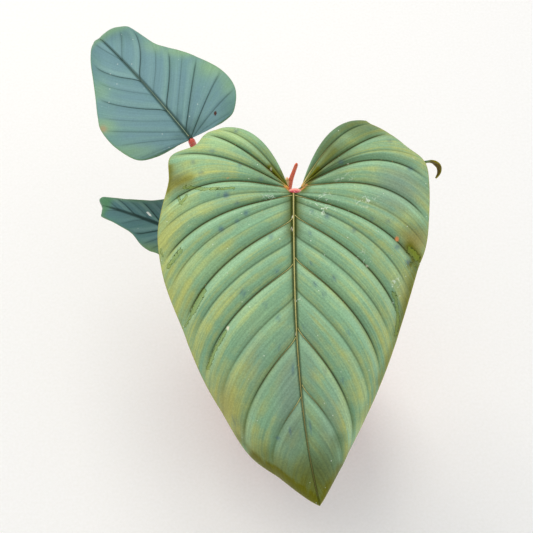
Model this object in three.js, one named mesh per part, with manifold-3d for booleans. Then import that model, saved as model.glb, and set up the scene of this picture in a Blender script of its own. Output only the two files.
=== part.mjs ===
// A potted heart-leaf philodendron: four pleated leaves on red stalks, a short stem, soil and a plain pot.
// Millimetres, +Z up. The origin is the middle of the pot's flat base. The big leaf tips towards -Y.

import * as THREE from 'three';
import { mergeVertices } from 'three/addons/utils/BufferGeometryUtils.js';
import Module from 'manifold-3d';

const wasm = await Module();
wasm.setup();

// Pot
const POT_HEIGHT = 130;
const RIM_RADIUS = 76;
const RIM_BAND = 28;
const RIM_STEP = 5;
const BASE_RADIUS = 50;
const POT_WALL = 6;
const POT_FLOOR = 9;
const POT_SIDES = 48;
const RIM_CHAMFER = 1.5;
const FOOT_CHAMFER = 2;
const DRAIN_HOLES = 3;
const DRAIN_RADIUS = 5;
const DRAIN_CIRCLE = 28;

// Soil
const SOIL_TOP = 112;
const SOIL_LUMP = 2.2;
const SOIL_SHOULDER = 4;
const SOIL_RINGS = [60, 50, 38, 26, 14];
const SOIL_SECTORS = 32;

// What touches keeps this much air
const GAP = 0.3;

// Stem
const STEM_FOOT = 52;
const STEM_TOP = 216;
const STEM_RADIUS_LOW = 8.5;
const STEM_RADIUS_TOP = 6;
const STEM_NODES = [122, 138, 153, 167, 181, 194, 206];
const STEM_NODE_SWELL = 1.3;
const STEM_NODE_WIDTH = 2.6;
const STEM_NODE_REACH = 4;
const STEM_CROWN = 6;
const STEM_CROWN_TOP = 0.45;
const STEM_SIDES = 12;
const ROOT_RADIUS = 1.9;
const ROOT_TIP_RADIUS = 1.2;
const ROOT_SIDES = 6;
const ROOT_STEPS = 8;

// Leaf stalks
const STALK_RADIUS = 3;
const STALK_FOOT_RADIUS = 5.2;
const STALK_HEAD_RADIUS = 4;
const STALK_FOOT_SHARE = 0.14;
const STALK_HEAD_SHARE = 0.07;
const STALK_SIDES = 8;
const STALK_STEPS = 26;

// Rolled new leaf
const SPIKE_RADIUS = 4.2;
const SPIKE_TIP_RADIUS = 0.35;
const SPIKE_SIDES = 8;
const SPIKE_STEPS = 18;

// Leaf blades
const BLADE_THICKNESS = 0.9;
const MIDRIB_HALF_WIDTH = 1;
const MIDRIB_DEPTH = 2.2;
const MIDRIB_THINNING = 0.75;
const MIDRIB_TAPER = 40;
const VEIN_SKEW = 0.64;
const DRIFT_POWER = 2.8;
const VALLEY_SHARPNESS = 2.5;
const PLEAT_RUN_IN = 14;
const PLEAT_FADE_FROM = 0.55;
const PLEAT_FADE = 0.7;
const DROOP_FADE_FROM = 0.25;
const DROOP_FADE_OVER = 0.6;
const TIP_ROW = 5;
const STEEPEST = 0.6;
const SINUS_SLOPE = 0.6;

// Each row is a side vein or the crest between two, from the midrib to the margin:
// where it leaves the midrib (below zero: that far out beside it, at the notch), how far out and how far
// towards the tip it meets the margin, how deep a valley it makes, and how far it bows backwards.
const FRONT_RIGHT = [
  [-2.6, 52, -65, 0, 0.21],
  [-2.6, 62, -64, 0.5, 0.14],
  [-2.6, 71, -60, 1, 0.07],
  [-2.6, 78, -51, 0, 0.12],
  [-2.6, 100, -40, 0.8, 0.13],
  [-2.6, 102, -16, 0, 0.24],
  [-2.6, 108, 12, 1, 0.26],
  [2, 109, 33, 0.4, 0.22],
  [4, 106, 60, 1, 0.22],
  [8, 100, 82, 0.5, 0.22],
  [25, 89, 114, 1, 0.22],
  [42, 82, 131, 0.5, 0.23],
  [62, 71, 160, 1, 0.25],
  [88, 58, 184, 0.5, 0.26],
  [120, 36, 224, 1, 0.28],
  [168, 12, 241, 0.7, 0.31],
  [222, -8, 254, 0.4, 0.2],
  [253, -21.6, 258, 0.4, 0],
];
const FRONT_LEFT = [
  [-5, 54, -73, 0, 0.2],
  [-5, 62, -73, 0.7, 0.03],
  [-5, 79, -62, 1, 0.06],
  [-5, 94, -48, 0, 0.17],
  [-5, 106, -37, 0.3, 0.24],
  [-5, 111, -17, 1, 0.32],
  [-5, 110, 22, 1, 0.29],
  [2, 107, 42, 0.3, 0.24],
  [4, 100, 60, 1, 0.2],
  [9, 94, 84, 0.5, 0.22],
  [22, 86, 111, 1, 0.22],
  [38, 79, 132, 0.5, 0.23],
  [57, 70, 162, 1, 0.25],
  [81, 60, 187, 0.5, 0.26],
  [113, 44, 223, 1, 0.28],
  [158, 35, 240, 0.7, 0.31],
  [222, 27, 251, 0.4, 0.2],
  [253, 21.6, 258, 0.4, 0],
];
const YOUNG_RIGHT = [
  [-1.5, 35, -1, 0, 0.03],
  [-1.5, 49, 3, 0.3, 0],
  [-1.5, 65, 21, 0.6, -0.03],
  [0, 67, 46, 0.8, -0.02],
  [8, 58, 70, 1, 0],
  [22, 50, 83, 0.4, 0.02],
  [38, 43, 93, 1, 0.08],
  [58, 33, 105, 0.4, 0.06],
  [80, 31, 136, 1, 0.15],
];
const YOUNG_LEFT = [
  [-1.5, 18, -1.5, 0, 0.03],
  [-1.5, 32, 3, 0.3, 0],
  [-1.5, 50, 11, 0.6, 0.03],
  [0, 58, 35, 0.7, 0],
  [8, 57, 52, 1, 0.05],
  [22, 52, 67, 0.4, 0.05],
  [36, 41, 87, 1, 0.08],
  [56, 32, 104, 0.4, 0.06],
  [76, 22, 121, 1, 0.14],
];
const SIDE_RIGHT = [
  [-1.5, 22, -7, 0, 0.03],
  [-1.5, 36, 2, 0.3, 0],
  [-1.5, 50, 27, 0.6, -0.03],
  [0, 50, 51, 0.8, -0.02],
  [8, 36, 67, 1, 0],
  [22, 26, 79, 0.4, 0.02],
  [46, 20, 90, 1, 0.06],
  [62, 15, 103, 0.4, 0.06],
  [84, 12, 122, 0.8, 0.1],
];
const SIDE_LEFT = [
  [-1.5, 22, -5, 0, 0.03],
  [-1.5, 29, 0, 0.3, 0],
  [-1.5, 32, 11, 0.6, 0.03],
  [0, 29, 28, 0.7, 0],
  [6, 26, 43, 1, 0.05],
  [14, 27, 54, 0.4, 0.05],
  [24, 25, 65, 0.5, 0.08],
  [36, 18, 80, 1, 0.1],
  [70, 16, 98, 0.4, 0.06],
];

// A young leaf's rows go on from its shoulder to the neck of a narrow drip tip.
const SHOULDER_LENGTH = 18;
function youngRows(rows, shoulder, neckWidth, length, drip) {
  const neck = length - drip;
  return [
    ...rows,
    [108, shoulder, neck - SHOULDER_LENGTH, 0.5, 0.12],
    [neck - SHOULDER_LENGTH, neckWidth, neck, 0.3, 0],
    [length - 0.7 * drip, 2, length - 0.4 * drip, 0.2, 0],
    [length - TIP_ROW, 0, length, 0.2, 0],
  ];
}

const degrees = (value) => THREE.MathUtils.degToRad(value);
const clamp = THREE.MathUtils.clamp;

// The leaves: where the stalk meets the blade, the way to the tip and the upper face there, the dome
// across (rise and fall), the depth of the pleats, the long arch, and the curl near the tip.
const FRONT_TILT = degrees(15);
const LEAVES = {
  front: {
    base: [0, 0, 390],
    along: [0, -Math.cos(FRONT_TILT), -Math.sin(FRONT_TILT)],
    up: [0, -Math.sin(FRONT_TILT), Math.cos(FRONT_TILT)],
    right: FRONT_RIGHT,
    left: FRONT_LEFT,
    length: 258,
    drift: -21.6,
    rise: 0.22,
    fall: 0.42,
    droopFade: 0,
    pleat: 4,
    arch: 420,
    curlFrom: 258,
    curlRadius: 30,
    curlAngle: 0,
    scale: 1,
    columns: [0, 0.06, 0.16, 0.3, 0.45, 0.6, 0.75, 0.88, 1],
    steps: 3,
    tipSteps: [],
    colour: 0x7f9f72,
  },
  back: {
    base: [-88.6, 97.4, 325],
    along: [-0.607, 0.794, 0.17],
    up: [0, 0, 1],
    right: youngRows(YOUNG_RIGHT, 24, 8, 186, 20),
    left: youngRows(YOUNG_LEFT, 9, 4, 186, 20),
    length: 186,
    drift: 0,
    rise: 0.12,
    fall: 0.2,
    droopFade: 0.3,
    pleat: 1.6,
    arch: 420,
    curlFrom: 132,
    curlRadius: 15,
    curlAngle: 2.1,
    scale: 1,
    columns: [0, 0.08, 0.2, 0.34, 0.48, 0.62, 0.76, 0.88, 1],
    steps: 2,
    tipSteps: [6, 4, 2],
    colour: 0x76979a,
  },
  side: {
    base: [-83, 28.5, 268],
    along: [-0.87, 0.46, -0.04],
    up: [0.05, -0.26, 1],
    right: youngRows(SIDE_RIGHT, 8, 4, 186, 20),
    left: youngRows(SIDE_LEFT, 9, 4, 186, 20),
    length: 186,
    drift: 0,
    rise: -0.15,
    fall: 0.4,
    droopFade: 0.85,
    pleat: 2.2,
    arch: 330,
    curlFrom: 120,
    curlRadius: 17,
    curlAngle: 1.9,
    scale: 0.84,
    columns: [0, 0.08, 0.2, 0.34, 0.48, 0.62, 0.76, 0.88, 1],
    steps: 2,
    tipSteps: [6, 4, 2],
    colour: 0x536f68,
  },
  right: {
    base: [38, 42, 310],
    along: [0.758, 0.378, 0.53],
    up: [-0.3, 0.4, 0.85],
    right: youngRows(YOUNG_RIGHT, 17, 4, 226, 62),
    left: youngRows(YOUNG_LEFT, 13, 4, 226, 62),
    length: 226,
    drift: 0,
    rise: 0.12,
    fall: 0.3,
    droopFade: 0.3,
    pleat: 2,
    arch: 300,
    curlFrom: 172,
    curlRadius: 17,
    curlAngle: 3.2,
    scale: 0.52,
    columns: [0, 0.1, 0.3, 0.55, 0.8, 1],
    steps: 2,
    tipSteps: [6, 6, 6],
    colour: 0x6d8f7a,
  },
};

// Smooth curve through the rows of a table, at row number u.
function rowAt(rows, u) {
  const last = rows.length - 1;
  const i = Math.min(Math.floor(u), last - 1);
  const f = u - i;
  const before = rows[Math.max(i - 1, 0)];
  const after = rows[Math.min(i + 2, last)];
  return rows[i].map((value, k) => {
    const next = rows[i + 1][k];
    const slopeHere = (next - before[k]) / 2;
    const slopeNext = (after[k] - value) / 2;
    const rise = f * f * (3 - 2 * f);
    return value + rise * (next - value) + f * (1 - f) * ((1 - f) * slopeHere - f * slopeNext);
  });
}

// Where the midrib lies sideways, a millimetres from the base.
function midribDrift(leaf, a) {
  return leaf.drift * clamp(a / leaf.length, 0, 1) ** DRIFT_POWER;
}

// Flat blade: row u, share t of the way from the midrib to the margin.
function flatPoint(leaf, side, u, t) {
  const rows = side > 0 ? leaf.right : leaf.left;
  const [swung, out, along, , bow] = rowAt(rows, u);
  const start = Math.max(swung, rows[0][0]);
  const leaves = clamp(start, 0, leaf.length);
  const taper = clamp((leaf.length - TIP_ROW - leaves) / MIDRIB_TAPER, 0, 1);
  const from = new THREE.Vector2(
    midribDrift(leaf, leaves) + side * (MIDRIB_HALF_WIDTH * taper + Math.max(-start, 0)),
    leaves + SINUS_SLOPE * Math.min(start, 0));
  const to = new THREE.Vector2(side * out, along);
  const chord = to.clone().sub(from);
  const backwards = new THREE.Vector2(chord.y, -chord.x).multiplyScalar(side);
  const middle = from.clone().addScaledVector(chord, VEIN_SKEW).addScaledVector(backwards, bow);
  const point = from.clone().multiplyScalar((1 - t) ** 2)
    .addScaledVector(middle, 2 * t * (1 - t))
    .addScaledVector(to, t * t);
  return { x: point.x, a: point.y, reach: chord.length() };
}

// Depth of the pleats: sharp valleys at the veins, round crests between them.
function pleatDepth(leaf, side, u, t, reach) {
  const rows = side > 0 ? leaf.right : leaf.left;
  const i = Math.min(Math.floor(u), rows.length - 2);
  const f = u - i;
  const valley = rows[i][3] * (1 - f) ** VALLEY_SHARPNESS + rows[i + 1][3] * f ** VALLEY_SHARPNESS;
  const runIn = Math.min(t * reach / PLEAT_RUN_IN, 1);
  const runOut = 1 - PLEAT_FADE * clamp((t - PLEAT_FADE_FROM) / (1 - PLEAT_FADE_FROM), 0, 1) ** 1.5;
  return leaf.pleat * valley * runIn * runOut;
}

// A point of the flat blade, carried onto the leaf's long arch and the curl at its tip.
function placePoint(leaf, x, a, height) {
  const along = new THREE.Vector3(...leaf.along).normalize();
  const up = new THREE.Vector3(...leaf.up);
  up.addScaledVector(along, -up.dot(along)).normalize();
  const across = along.clone().cross(up);
  const curlEnd = leaf.curlFrom + leaf.curlRadius * leaf.curlAngle;
  const archAngle = Math.min(a, leaf.curlFrom) / leaf.arch;
  const curl = clamp(a - leaf.curlFrom, 0, curlEnd - leaf.curlFrom) / leaf.curlRadius;
  const straight = Math.max(a - curlEnd, 0);
  const angle = archAngle + curl;
  const forward = leaf.arch * Math.sin(archAngle)
    + leaf.curlRadius * (Math.sin(angle) - Math.sin(archAngle)) + straight * Math.cos(angle);
  const drop = leaf.arch * (1 - Math.cos(archAngle))
    + leaf.curlRadius * (Math.cos(archAngle) - Math.cos(angle)) + straight * Math.sin(angle);
  return new THREE.Vector3(...leaf.base)
    .addScaledVector(across, x * leaf.scale)
    .addScaledVector(along, (forward + height * Math.sin(angle)) * leaf.scale)
    .addScaledVector(up, (height * Math.cos(angle) - drop) * leaf.scale);
}

// Upper face of a blade at row u and share t: where it lies on the flat blade, and how high it stands.
function bladeCorner(leaf, side, u, t) {
  const { x, a, reach } = flatPoint(leaf, side, u, t);
  const towardsTip = clamp((a / leaf.curlFrom - DROOP_FADE_FROM) / DROOP_FADE_OVER, 0, 1);
  const fade = 1 - leaf.droopFade * towardsTip;
  const dome = reach * (leaf.rise * t - leaf.fall * t * t) * fade;
  return { x, a, height: dome - pleatDepth(leaf, side, u, t, reach) };
}

// Row numbers at which a blade is drawn: a few between neighbouring rows, and more where the tip curls.
function rowSamples(leaf) {
  const intervals = leaf.right.length - 1;
  const samples = [];
  for (let i = 0; i < intervals; i += 1) {
    const steps = leaf.tipSteps[i - intervals + leaf.tipSteps.length] ?? leaf.steps;
    for (let j = 0; j < steps; j += 1) samples.push(i + j / steps);
  }
  return [...samples, intervals];
}

// Upper face as triangles, the same triangles lower down, and an edge round both.
function bladeGeometry(leaf) {
  const corners = [];
  const seen = new Map();
  const cornerAt = (side, u, t) => {
    const corner = bladeCorner(leaf, side, u, t);
    const key = [corner.x, corner.a, corner.height].map((value) => value.toFixed(3)).join(' ');
    if (!seen.has(key)) {
      const share = clamp(corner.a / leaf.length, 0, 1);
      const rib = t > 0 ? 0 : MIDRIB_DEPTH * leaf.scale * (1 - MIDRIB_THINNING * share);
      seen.set(key, corners.push({ ...corner, rib }) - 1);
    }
    return seen.get(key);
  };
  const upper = [];
  const quad = (a, b, c, d) => {
    for (const [p, q, r] of [[a, b, c], [a, c, d]]) {
      if (p !== q && q !== r && r !== p) upper.push([p, q, r]);
    }
  };
  const samples = rowSamples(leaf);
  const rowCount = samples.length;
  const grid = (side) => samples.map((u) => leaf.columns.map((t) => cornerAt(side, u, t)));
  const right = grid(1);
  const left = grid(-1);
  for (let j = 0; j + 1 < rowCount; j += 1) {
    for (let k = 0; k + 1 < leaf.columns.length; k += 1) {
      quad(right[j][k], right[j][k + 1], right[j + 1][k + 1], right[j + 1][k]);
      quad(left[j][k], left[j + 1][k], left[j + 1][k + 1], left[j][k + 1]);
    }
  }
  const firstOnMidrib = samples.indexOf(leaf.right.findIndex((row) => row[0] >= 0));
  for (let j = firstOnMidrib; j + 1 < rowCount; j += 1) {
    quad(left[j][0], right[j][0], right[j + 1][0], left[j + 1][0]);
  }

  // The blade is thickened downwards, more where it is steep, so that it is as thick all over.
  const above = corners.map(({ x, a, height }) => placePoint(leaf, x, a, height));
  const face = meshOf(above, upper);
  face.computeVertexNormals();
  const normals = face.getAttribute('normal');
  const normal = new THREE.Vector3();
  const below = corners.map(({ x, a, height, rib }, i) => {
    const under = placePoint(leaf, x, a, height - 1);
    const upright = above[i].clone().sub(under).normalize();
    normal.fromBufferAttribute(normals, i);
    const steepness = Math.max(normal.dot(upright), STEEPEST);
    return placePoint(leaf, x, a, height - (BLADE_THICKNESS / steepness + rib) / leaf.scale);
  });

  const edges = new Map();
  for (const [p, q, r] of upper) {
    for (const [from, to] of [[p, q], [q, r], [r, p]]) {
      if (edges.has(`${to} ${from}`)) edges.delete(`${to} ${from}`);
      else edges.set(`${from} ${to}`, [from, to]);
    }
  }
  const count = corners.length;
  const triangles = [...upper];
  for (const [p, q, r] of upper) triangles.push([p + count, r + count, q + count]);
  for (const [from, to] of edges.values()) {
    triangles.push([to, from, from + count], [to, from + count, to + count]);
  }
  return meshOf([...above, ...below], triangles);
}

function meshOf(points, triangles) {
  const geometry = new THREE.BufferGeometry();
  geometry.setAttribute('position', new THREE.Float32BufferAttribute(points.flatMap((p) => p.toArray()), 3));
  geometry.setIndex(triangles.flat());
  return geometry;
}

// Closed round tube with a ring at each share of its path, whose radius is a function of share and place.
function tube(path, radiusAt, sides, shares) {
  const curve = new THREE.CatmullRomCurve3(path.map((p) => new THREE.Vector3(...p)));
  const points = [];
  const triangles = [];
  const across = new THREE.Vector3(1, 0, 0);
  for (const share of shares) {
    const centre = curve.getPointAt(share);
    const tangent = curve.getTangentAt(share);
    across.addScaledVector(tangent, -across.dot(tangent)).normalize();
    const other = tangent.clone().cross(across);
    const radius = radiusAt(share, centre);
    for (let k = 0; k < sides; k += 1) {
      const angle = (2 * Math.PI * k) / sides;
      points.push(centre.clone()
        .addScaledVector(across, radius * Math.cos(angle))
        .addScaledVector(other, radius * Math.sin(angle)));
    }
  }
  const first = points.push(curve.getPointAt(0)) - 1;
  const last = points.push(curve.getPointAt(1)) - 1;
  const end = (shares.length - 1) * sides;
  for (let k = 0; k < sides; k += 1) {
    const next = (k + 1) % sides;
    triangles.push([first, next, k], [last, end + k, end + next]);
    for (let here = 0; here < end; here += sides) {
      const above = here + sides;
      triangles.push([here + k, here + next, above + next], [here + k, above + next, above + k]);
    }
  }
  return meshOf(points, triangles);
}

const evenShares = (steps) => Array.from({ length: steps + 1 }, (_, i) => i / steps);

// A closed mesh as a solid for cutting and joining, and back again.
function solid(geometry) {
  const bare = geometry.clone();
  bare.deleteAttribute('normal');
  bare.deleteAttribute('uv');
  const merged = mergeVertices(bare);
  const index = merged.getIndex().array;
  const kept = [];
  for (let i = 0; i < index.length; i += 3) {
    const [p, q, r] = index.slice(i, i + 3);
    if (p !== q && q !== r && r !== p) kept.push(p, q, r);
  }
  return new wasm.Manifold(new wasm.Mesh({
    numProp: 3,
    vertProperties: new Float32Array(merged.getAttribute('position').array),
    triVerts: new Uint32Array(kept),
  }));
}

function geometryOf(manifold) {
  const mesh = manifold.getMesh();
  const geometry = new THREE.BufferGeometry();
  geometry.setAttribute('position', new THREE.BufferAttribute(new Float32Array(mesh.vertProperties), 3));
  geometry.setIndex(new THREE.BufferAttribute(new Uint32Array(mesh.triVerts), 1));
  return geometry;
}

const part = new THREE.Group();

function addNode(name, geometry, colour, roughness) {
  const material = new THREE.MeshStandardMaterial({ color: colour, roughness, metalness: 0 });
  const mesh = new THREE.Mesh(geometry, material);
  mesh.name = name;
  part.add(mesh);
}

// Pot: a turned wall with a rim band, and drain holes round the middle of the floor.
const bandFoot = POT_HEIGHT - RIM_BAND;
const bodyTop = RIM_RADIUS - RIM_STEP;
const innerFoot = BASE_RADIUS - POT_WALL;
const innerTop = RIM_RADIUS - POT_WALL;
const wallAt = (z) => BASE_RADIUS + (bodyTop - BASE_RADIUS) * z / bandFoot;
const innerAt = (z) => innerFoot + (innerTop - innerFoot) * (z - POT_FLOOR) / (POT_HEIGHT - POT_FLOOR);
const potProfile = [
  [0, 0],
  [BASE_RADIUS - FOOT_CHAMFER, 0],
  [wallAt(FOOT_CHAMFER), FOOT_CHAMFER],
  [wallAt(bandFoot), bandFoot],
  [RIM_RADIUS - RIM_CHAMFER, bandFoot],
  [RIM_RADIUS, bandFoot + RIM_CHAMFER],
  [RIM_RADIUS, POT_HEIGHT - RIM_CHAMFER],
  [RIM_RADIUS - RIM_CHAMFER, POT_HEIGHT],
  [innerTop + RIM_CHAMFER, POT_HEIGHT],
  [innerTop, POT_HEIGHT - RIM_CHAMFER],
  [innerFoot, POT_FLOOR],
  [0, POT_FLOOR],
].map(([radius, z]) => new THREE.Vector2(radius, z));
let pot = solid(new THREE.LatheGeometry(potProfile, POT_SIDES).rotateX(Math.PI / 2));
for (let i = 0; i < DRAIN_HOLES; i += 1) {
  const angle = (2 * Math.PI * (i + 0.25)) / DRAIN_HOLES;
  const drill = new THREE.CylinderGeometry(DRAIN_RADIUS, DRAIN_RADIUS, 3 * POT_FLOOR, 16)
    .rotateX(Math.PI / 2)
    .translate(DRAIN_CIRCLE * Math.cos(angle), DRAIN_CIRCLE * Math.sin(angle), 0);
  pot = pot.subtract(solid(drill));
}
addNode('pot', geometryOf(pot), 0xb5683f, 0.85);

// Stem: a short upright with a swelling at each leaf scar and a few aerial roots, planted in the soil.
const STEM_PATH = [[0, 4, STEM_FOOT], [1, 5, 100], [-1, 8, 150], [-1, 13, 190], [-1, 18, STEM_TOP]];
const stemRadius = (share, centre) => {
  const height = (centre.z - STEM_FOOT) / (STEM_TOP - STEM_FOOT);
  const plain = STEM_RADIUS_LOW + (STEM_RADIUS_TOP - STEM_RADIUS_LOW) * height;
  const scars = STEM_NODES.map((z) => Math.exp(-(((centre.z - z) / STEM_NODE_WIDTH) ** 2)));
  const swell = STEM_NODE_SWELL * scars.reduce((sum, value) => sum + value, 0);
  return (plain + swell) * clamp((STEM_TOP - centre.z) / STEM_CROWN, STEM_CROWN_TOP, 1);
};
const STEM_RINGS = [
  STEM_FOOT, (STEM_FOOT + SOIL_TOP) / 2, SOIL_TOP,
  ...STEM_NODES.flatMap((z) => [z - STEM_NODE_REACH, z, z + STEM_NODE_REACH]),
  STEM_TOP - STEM_CROWN, STEM_TOP - STEM_CROWN / 2, STEM_TOP,
].map((z) => (z - STEM_FOOT) / (STEM_TOP - STEM_FOOT));
const AERIAL_ROOTS = [
  [[5, 2, 138], [15, -3, 134], [20, -6, 124], [22, -8, 117]],
  [[-5, 2, 122], [-14, -5, 122], [-20, -10, 117], [-22, -12, 116]],
  [[0, 14, 153], [2, 23, 150], [4, 28, 138], [4, 29, 126]],
];
const rootRadius = (share) => ROOT_RADIUS + (ROOT_TIP_RADIUS - ROOT_RADIUS) * share;
let stem = solid(tube(STEM_PATH, stemRadius, STEM_SIDES, STEM_RINGS));
for (const path of AERIAL_ROOTS) {
  stem = stem.add(solid(tube(path, rootRadius, ROOT_SIDES, evenShares(ROOT_STEPS))));
}
addNode('stem', geometryOf(stem), 0x6d7a45, 0.7);

// Room round the stem for what touches it.
const stemMiddle = (STEM_FOOT + STEM_TOP) / 2;
const roomPath = STEM_PATH.map(([x, y, z]) => [x, y, z + GAP * Math.sign(z - stemMiddle)]);
const roomRadius = (share, centre) => stemRadius(share, centre) + GAP;
const stemRoom = solid(tube(roomPath, roomRadius, STEM_SIDES, STEM_RINGS));

// Leaf stalks: each clasps the stem with a wider foot and ends just under its blade.
const stalkRadius = (share) => STALK_RADIUS
  + (STALK_FOOT_RADIUS - STALK_RADIUS) * clamp(1 - share / STALK_FOOT_SHARE, 0, 1)
  + (STALK_HEAD_RADIUS - STALK_RADIUS) * clamp(1 - (1 - share) / STALK_HEAD_SHARE, 0, 1);

// A stalk comes up square to its blade and ends just under it.
function stalkPath(leaf, lowerPoints) {
  const air = BLADE_THICKNESS / STEEPEST + MIDRIB_DEPTH * leaf.scale + GAP;
  const headPoints = [26, 8, 0].map((below) => placePoint(leaf, 0, 0, -(air + below) / leaf.scale));
  return [...lowerPoints, ...headPoints.map((point) => point.toArray())];
}
const STALKS = {
  front: stalkPath(LEAVES.front, [[2, 12, 192], [9, 21, 206], [11, 26, 250], [7, 30, 310]]),
  back: stalkPath(LEAVES.back, [[-3, 13, 180], [-14, 26, 187], [-40, 52, 220], [-74, 85, 270]]),
  side: stalkPath(LEAVES.side, [[-3, 9, 165], [-15, 10, 172], [-42, 16, 196], [-71, 25, 228]]),
  right: stalkPath(LEAVES.right, [[1, 9, 173], [13, 14, 180], [27, 26, 215], [36, 38, 262]]),
};
for (const [name, path] of Object.entries(STALKS)) {
  const stalk = solid(tube(path, stalkRadius, STALK_SIDES, evenShares(STALK_STEPS))).subtract(stemRoom);
  addNode(`petiole_${name}`, geometryOf(stalk), 0xb9665a, 0.5);
}

// The next leaf, still rolled up in its red sheath: a spike from the top of the stem.
const SPIKE_PATH = [[-2, 18, STEM_TOP - 8], [-3, 30, 250], [-3, 45, 295], [-1, 51, 325], [4.3, 53, 351]];
const spikeRadius = (share) => SPIKE_RADIUS * (1 - share) ** 0.75 + SPIKE_TIP_RADIUS;
const spike = solid(tube(SPIKE_PATH, spikeRadius, SPIKE_SIDES, evenShares(SPIKE_STEPS))).subtract(stemRoom);
addNode('new_leaf', geometryOf(spike), 0xc4695c, 0.5);

// Soil: fills the pot up to an uneven top, with a plain hole for the stem.
const lump = (x, y) => SOIL_LUMP * (Math.sin(x / 7 + 1.3 * Math.sin(y / 9)) * Math.cos(y / 8)
  + 0.5 * Math.sin(x / 3.7 + y / 5.1));
function soilGeometry() {
  const floor = POT_FLOOR + GAP;
  const shoulder = SOIL_TOP - SOIL_SHOULDER;
  const ring = (radius, z) => Array.from({ length: SOIL_SECTORS }, (_, k) => {
    const angle = (2 * Math.PI * k) / SOIL_SECTORS;
    const x = radius * Math.cos(angle);
    const y = radius * Math.sin(angle);
    return new THREE.Vector3(x, y, z ?? SOIL_TOP + lump(x, y));
  });
  const inward = Math.cos(Math.PI / POT_SIDES);
  const rings = [
    ring(innerAt(floor) * inward - GAP, floor),
    ring(innerAt(shoulder) * inward - GAP, shoulder),
    ...SOIL_RINGS.map((radius) => ring(radius)),
  ];
  const points = rings.flat();
  const bottom = points.push(new THREE.Vector3(0, 0, floor)) - 1;
  const top = points.push(new THREE.Vector3(0, 0, SOIL_TOP + lump(0, 0))) - 1;
  const triangles = [];
  for (let k = 0; k < SOIL_SECTORS; k += 1) {
    const next = (k + 1) % SOIL_SECTORS;
    const inner = (rings.length - 1) * SOIL_SECTORS;
    triangles.push([bottom, next, k], [top, inner + k, inner + next]);
    for (let i = 0; i + 1 < rings.length; i += 1) {
      const here = i * SOIL_SECTORS;
      const above = here + SOIL_SECTORS;
      triangles.push([here + k, here + next, above + next], [here + k, above + next, above + k]);
    }
  }
  return meshOf(points, triangles);
}
addNode('soil', geometryOf(solid(soilGeometry()).subtract(stemRoom)), 0x3a2c22, 0.95);

for (const [name, leaf] of Object.entries(LEAVES)) {
  addNode(`blade_${name}`, bladeGeometry(leaf), leaf.colour, 0.55);
}

export default part;
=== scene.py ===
"""The looks of a potted heart-leaf philodendron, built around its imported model.

Sizes are in millimetres, and new_mesh turns them to metres. The plant's own shapes follow the same
rules as its solids, with many more points: pleats with creased veins, round stalks, a turned pot.
"""
import math

import bpy
import numpy as np
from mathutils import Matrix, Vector


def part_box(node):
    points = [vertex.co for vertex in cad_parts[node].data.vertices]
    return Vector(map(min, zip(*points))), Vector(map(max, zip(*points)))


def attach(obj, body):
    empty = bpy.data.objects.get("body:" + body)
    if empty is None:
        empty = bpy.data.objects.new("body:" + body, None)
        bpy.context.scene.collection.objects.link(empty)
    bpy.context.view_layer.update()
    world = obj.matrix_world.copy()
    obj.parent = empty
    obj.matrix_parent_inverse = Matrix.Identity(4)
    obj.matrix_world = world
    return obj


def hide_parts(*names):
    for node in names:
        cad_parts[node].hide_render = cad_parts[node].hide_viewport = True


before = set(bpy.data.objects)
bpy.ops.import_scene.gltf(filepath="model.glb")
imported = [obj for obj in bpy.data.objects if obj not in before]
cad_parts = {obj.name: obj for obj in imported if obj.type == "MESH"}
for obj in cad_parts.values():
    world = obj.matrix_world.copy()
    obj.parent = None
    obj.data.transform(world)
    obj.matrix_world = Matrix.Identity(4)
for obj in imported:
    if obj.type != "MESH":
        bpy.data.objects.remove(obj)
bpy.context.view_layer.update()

MM = 0.001

# Photo: where it was taken from, and the one point of it that places the leaf
PHOTO_SIDE = 533
PHOTO_DISTANCE = 1100
MM_PER_PIXEL = 0.8
PHOTO_ELEVATION = math.radians(60)
LEAF_BASE_PIXEL = (293.5, 190.5)
LEAF_BASE = (0, 0, 390)

VIEW = np.array([0, math.cos(PHOTO_ELEVATION), -math.sin(PHOTO_ELEVATION)])
VIEW_RIGHT = np.array([1.0, 0, 0])
VIEW_UP = np.cross(VIEW_RIGHT, VIEW)
PHOTO_MIDDLE = PHOTO_SIDE / 2
EYE = (np.array(LEAF_BASE, float)
       + (PHOTO_MIDDLE - LEAF_BASE_PIXEL[0]) * MM_PER_PIXEL * VIEW_RIGHT
       + (LEAF_BASE_PIXEL[1] - PHOTO_MIDDLE) * MM_PER_PIXEL * VIEW_UP
       - PHOTO_DISTANCE * VIEW)

# Pot
POT_WALL = 6
POT_FLOOR = 9
RIM_BAND = 28
RIM_STEP = 5
BASE_RADIUS = 50
POT_SIDES = 160
DRAIN_HOLES = 3
DRAIN_RADIUS = 5
DRAIN_CIRCLE = 28
DRILL_SIDES = 32
POT_EDGE_ROUNDING = 2.2
POT_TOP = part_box("pot")[1]
POT_HEIGHT = POT_TOP.z / MM
RIM_RADIUS = POT_TOP.x / MM

# Soil
SOIL_TOP = 112
SOIL_LUMP = 2.2
SOIL_RADIUS = 64.5
CRUMB_DEPTH = 0.9
SOIL_DIP = 3.2
SOIL_DIP_WIDTH = 2.5
SOIL_FLOOR = POT_FLOOR + 0.3
SOIL_EDGE = SOIL_TOP - 5
OPEN_RADIUS = 58
STEM_OFFSET = 5
STEM_CLEARANCE = 11
SOIL_SECTORS = 220
SOIL_RINGS = 80

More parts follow.
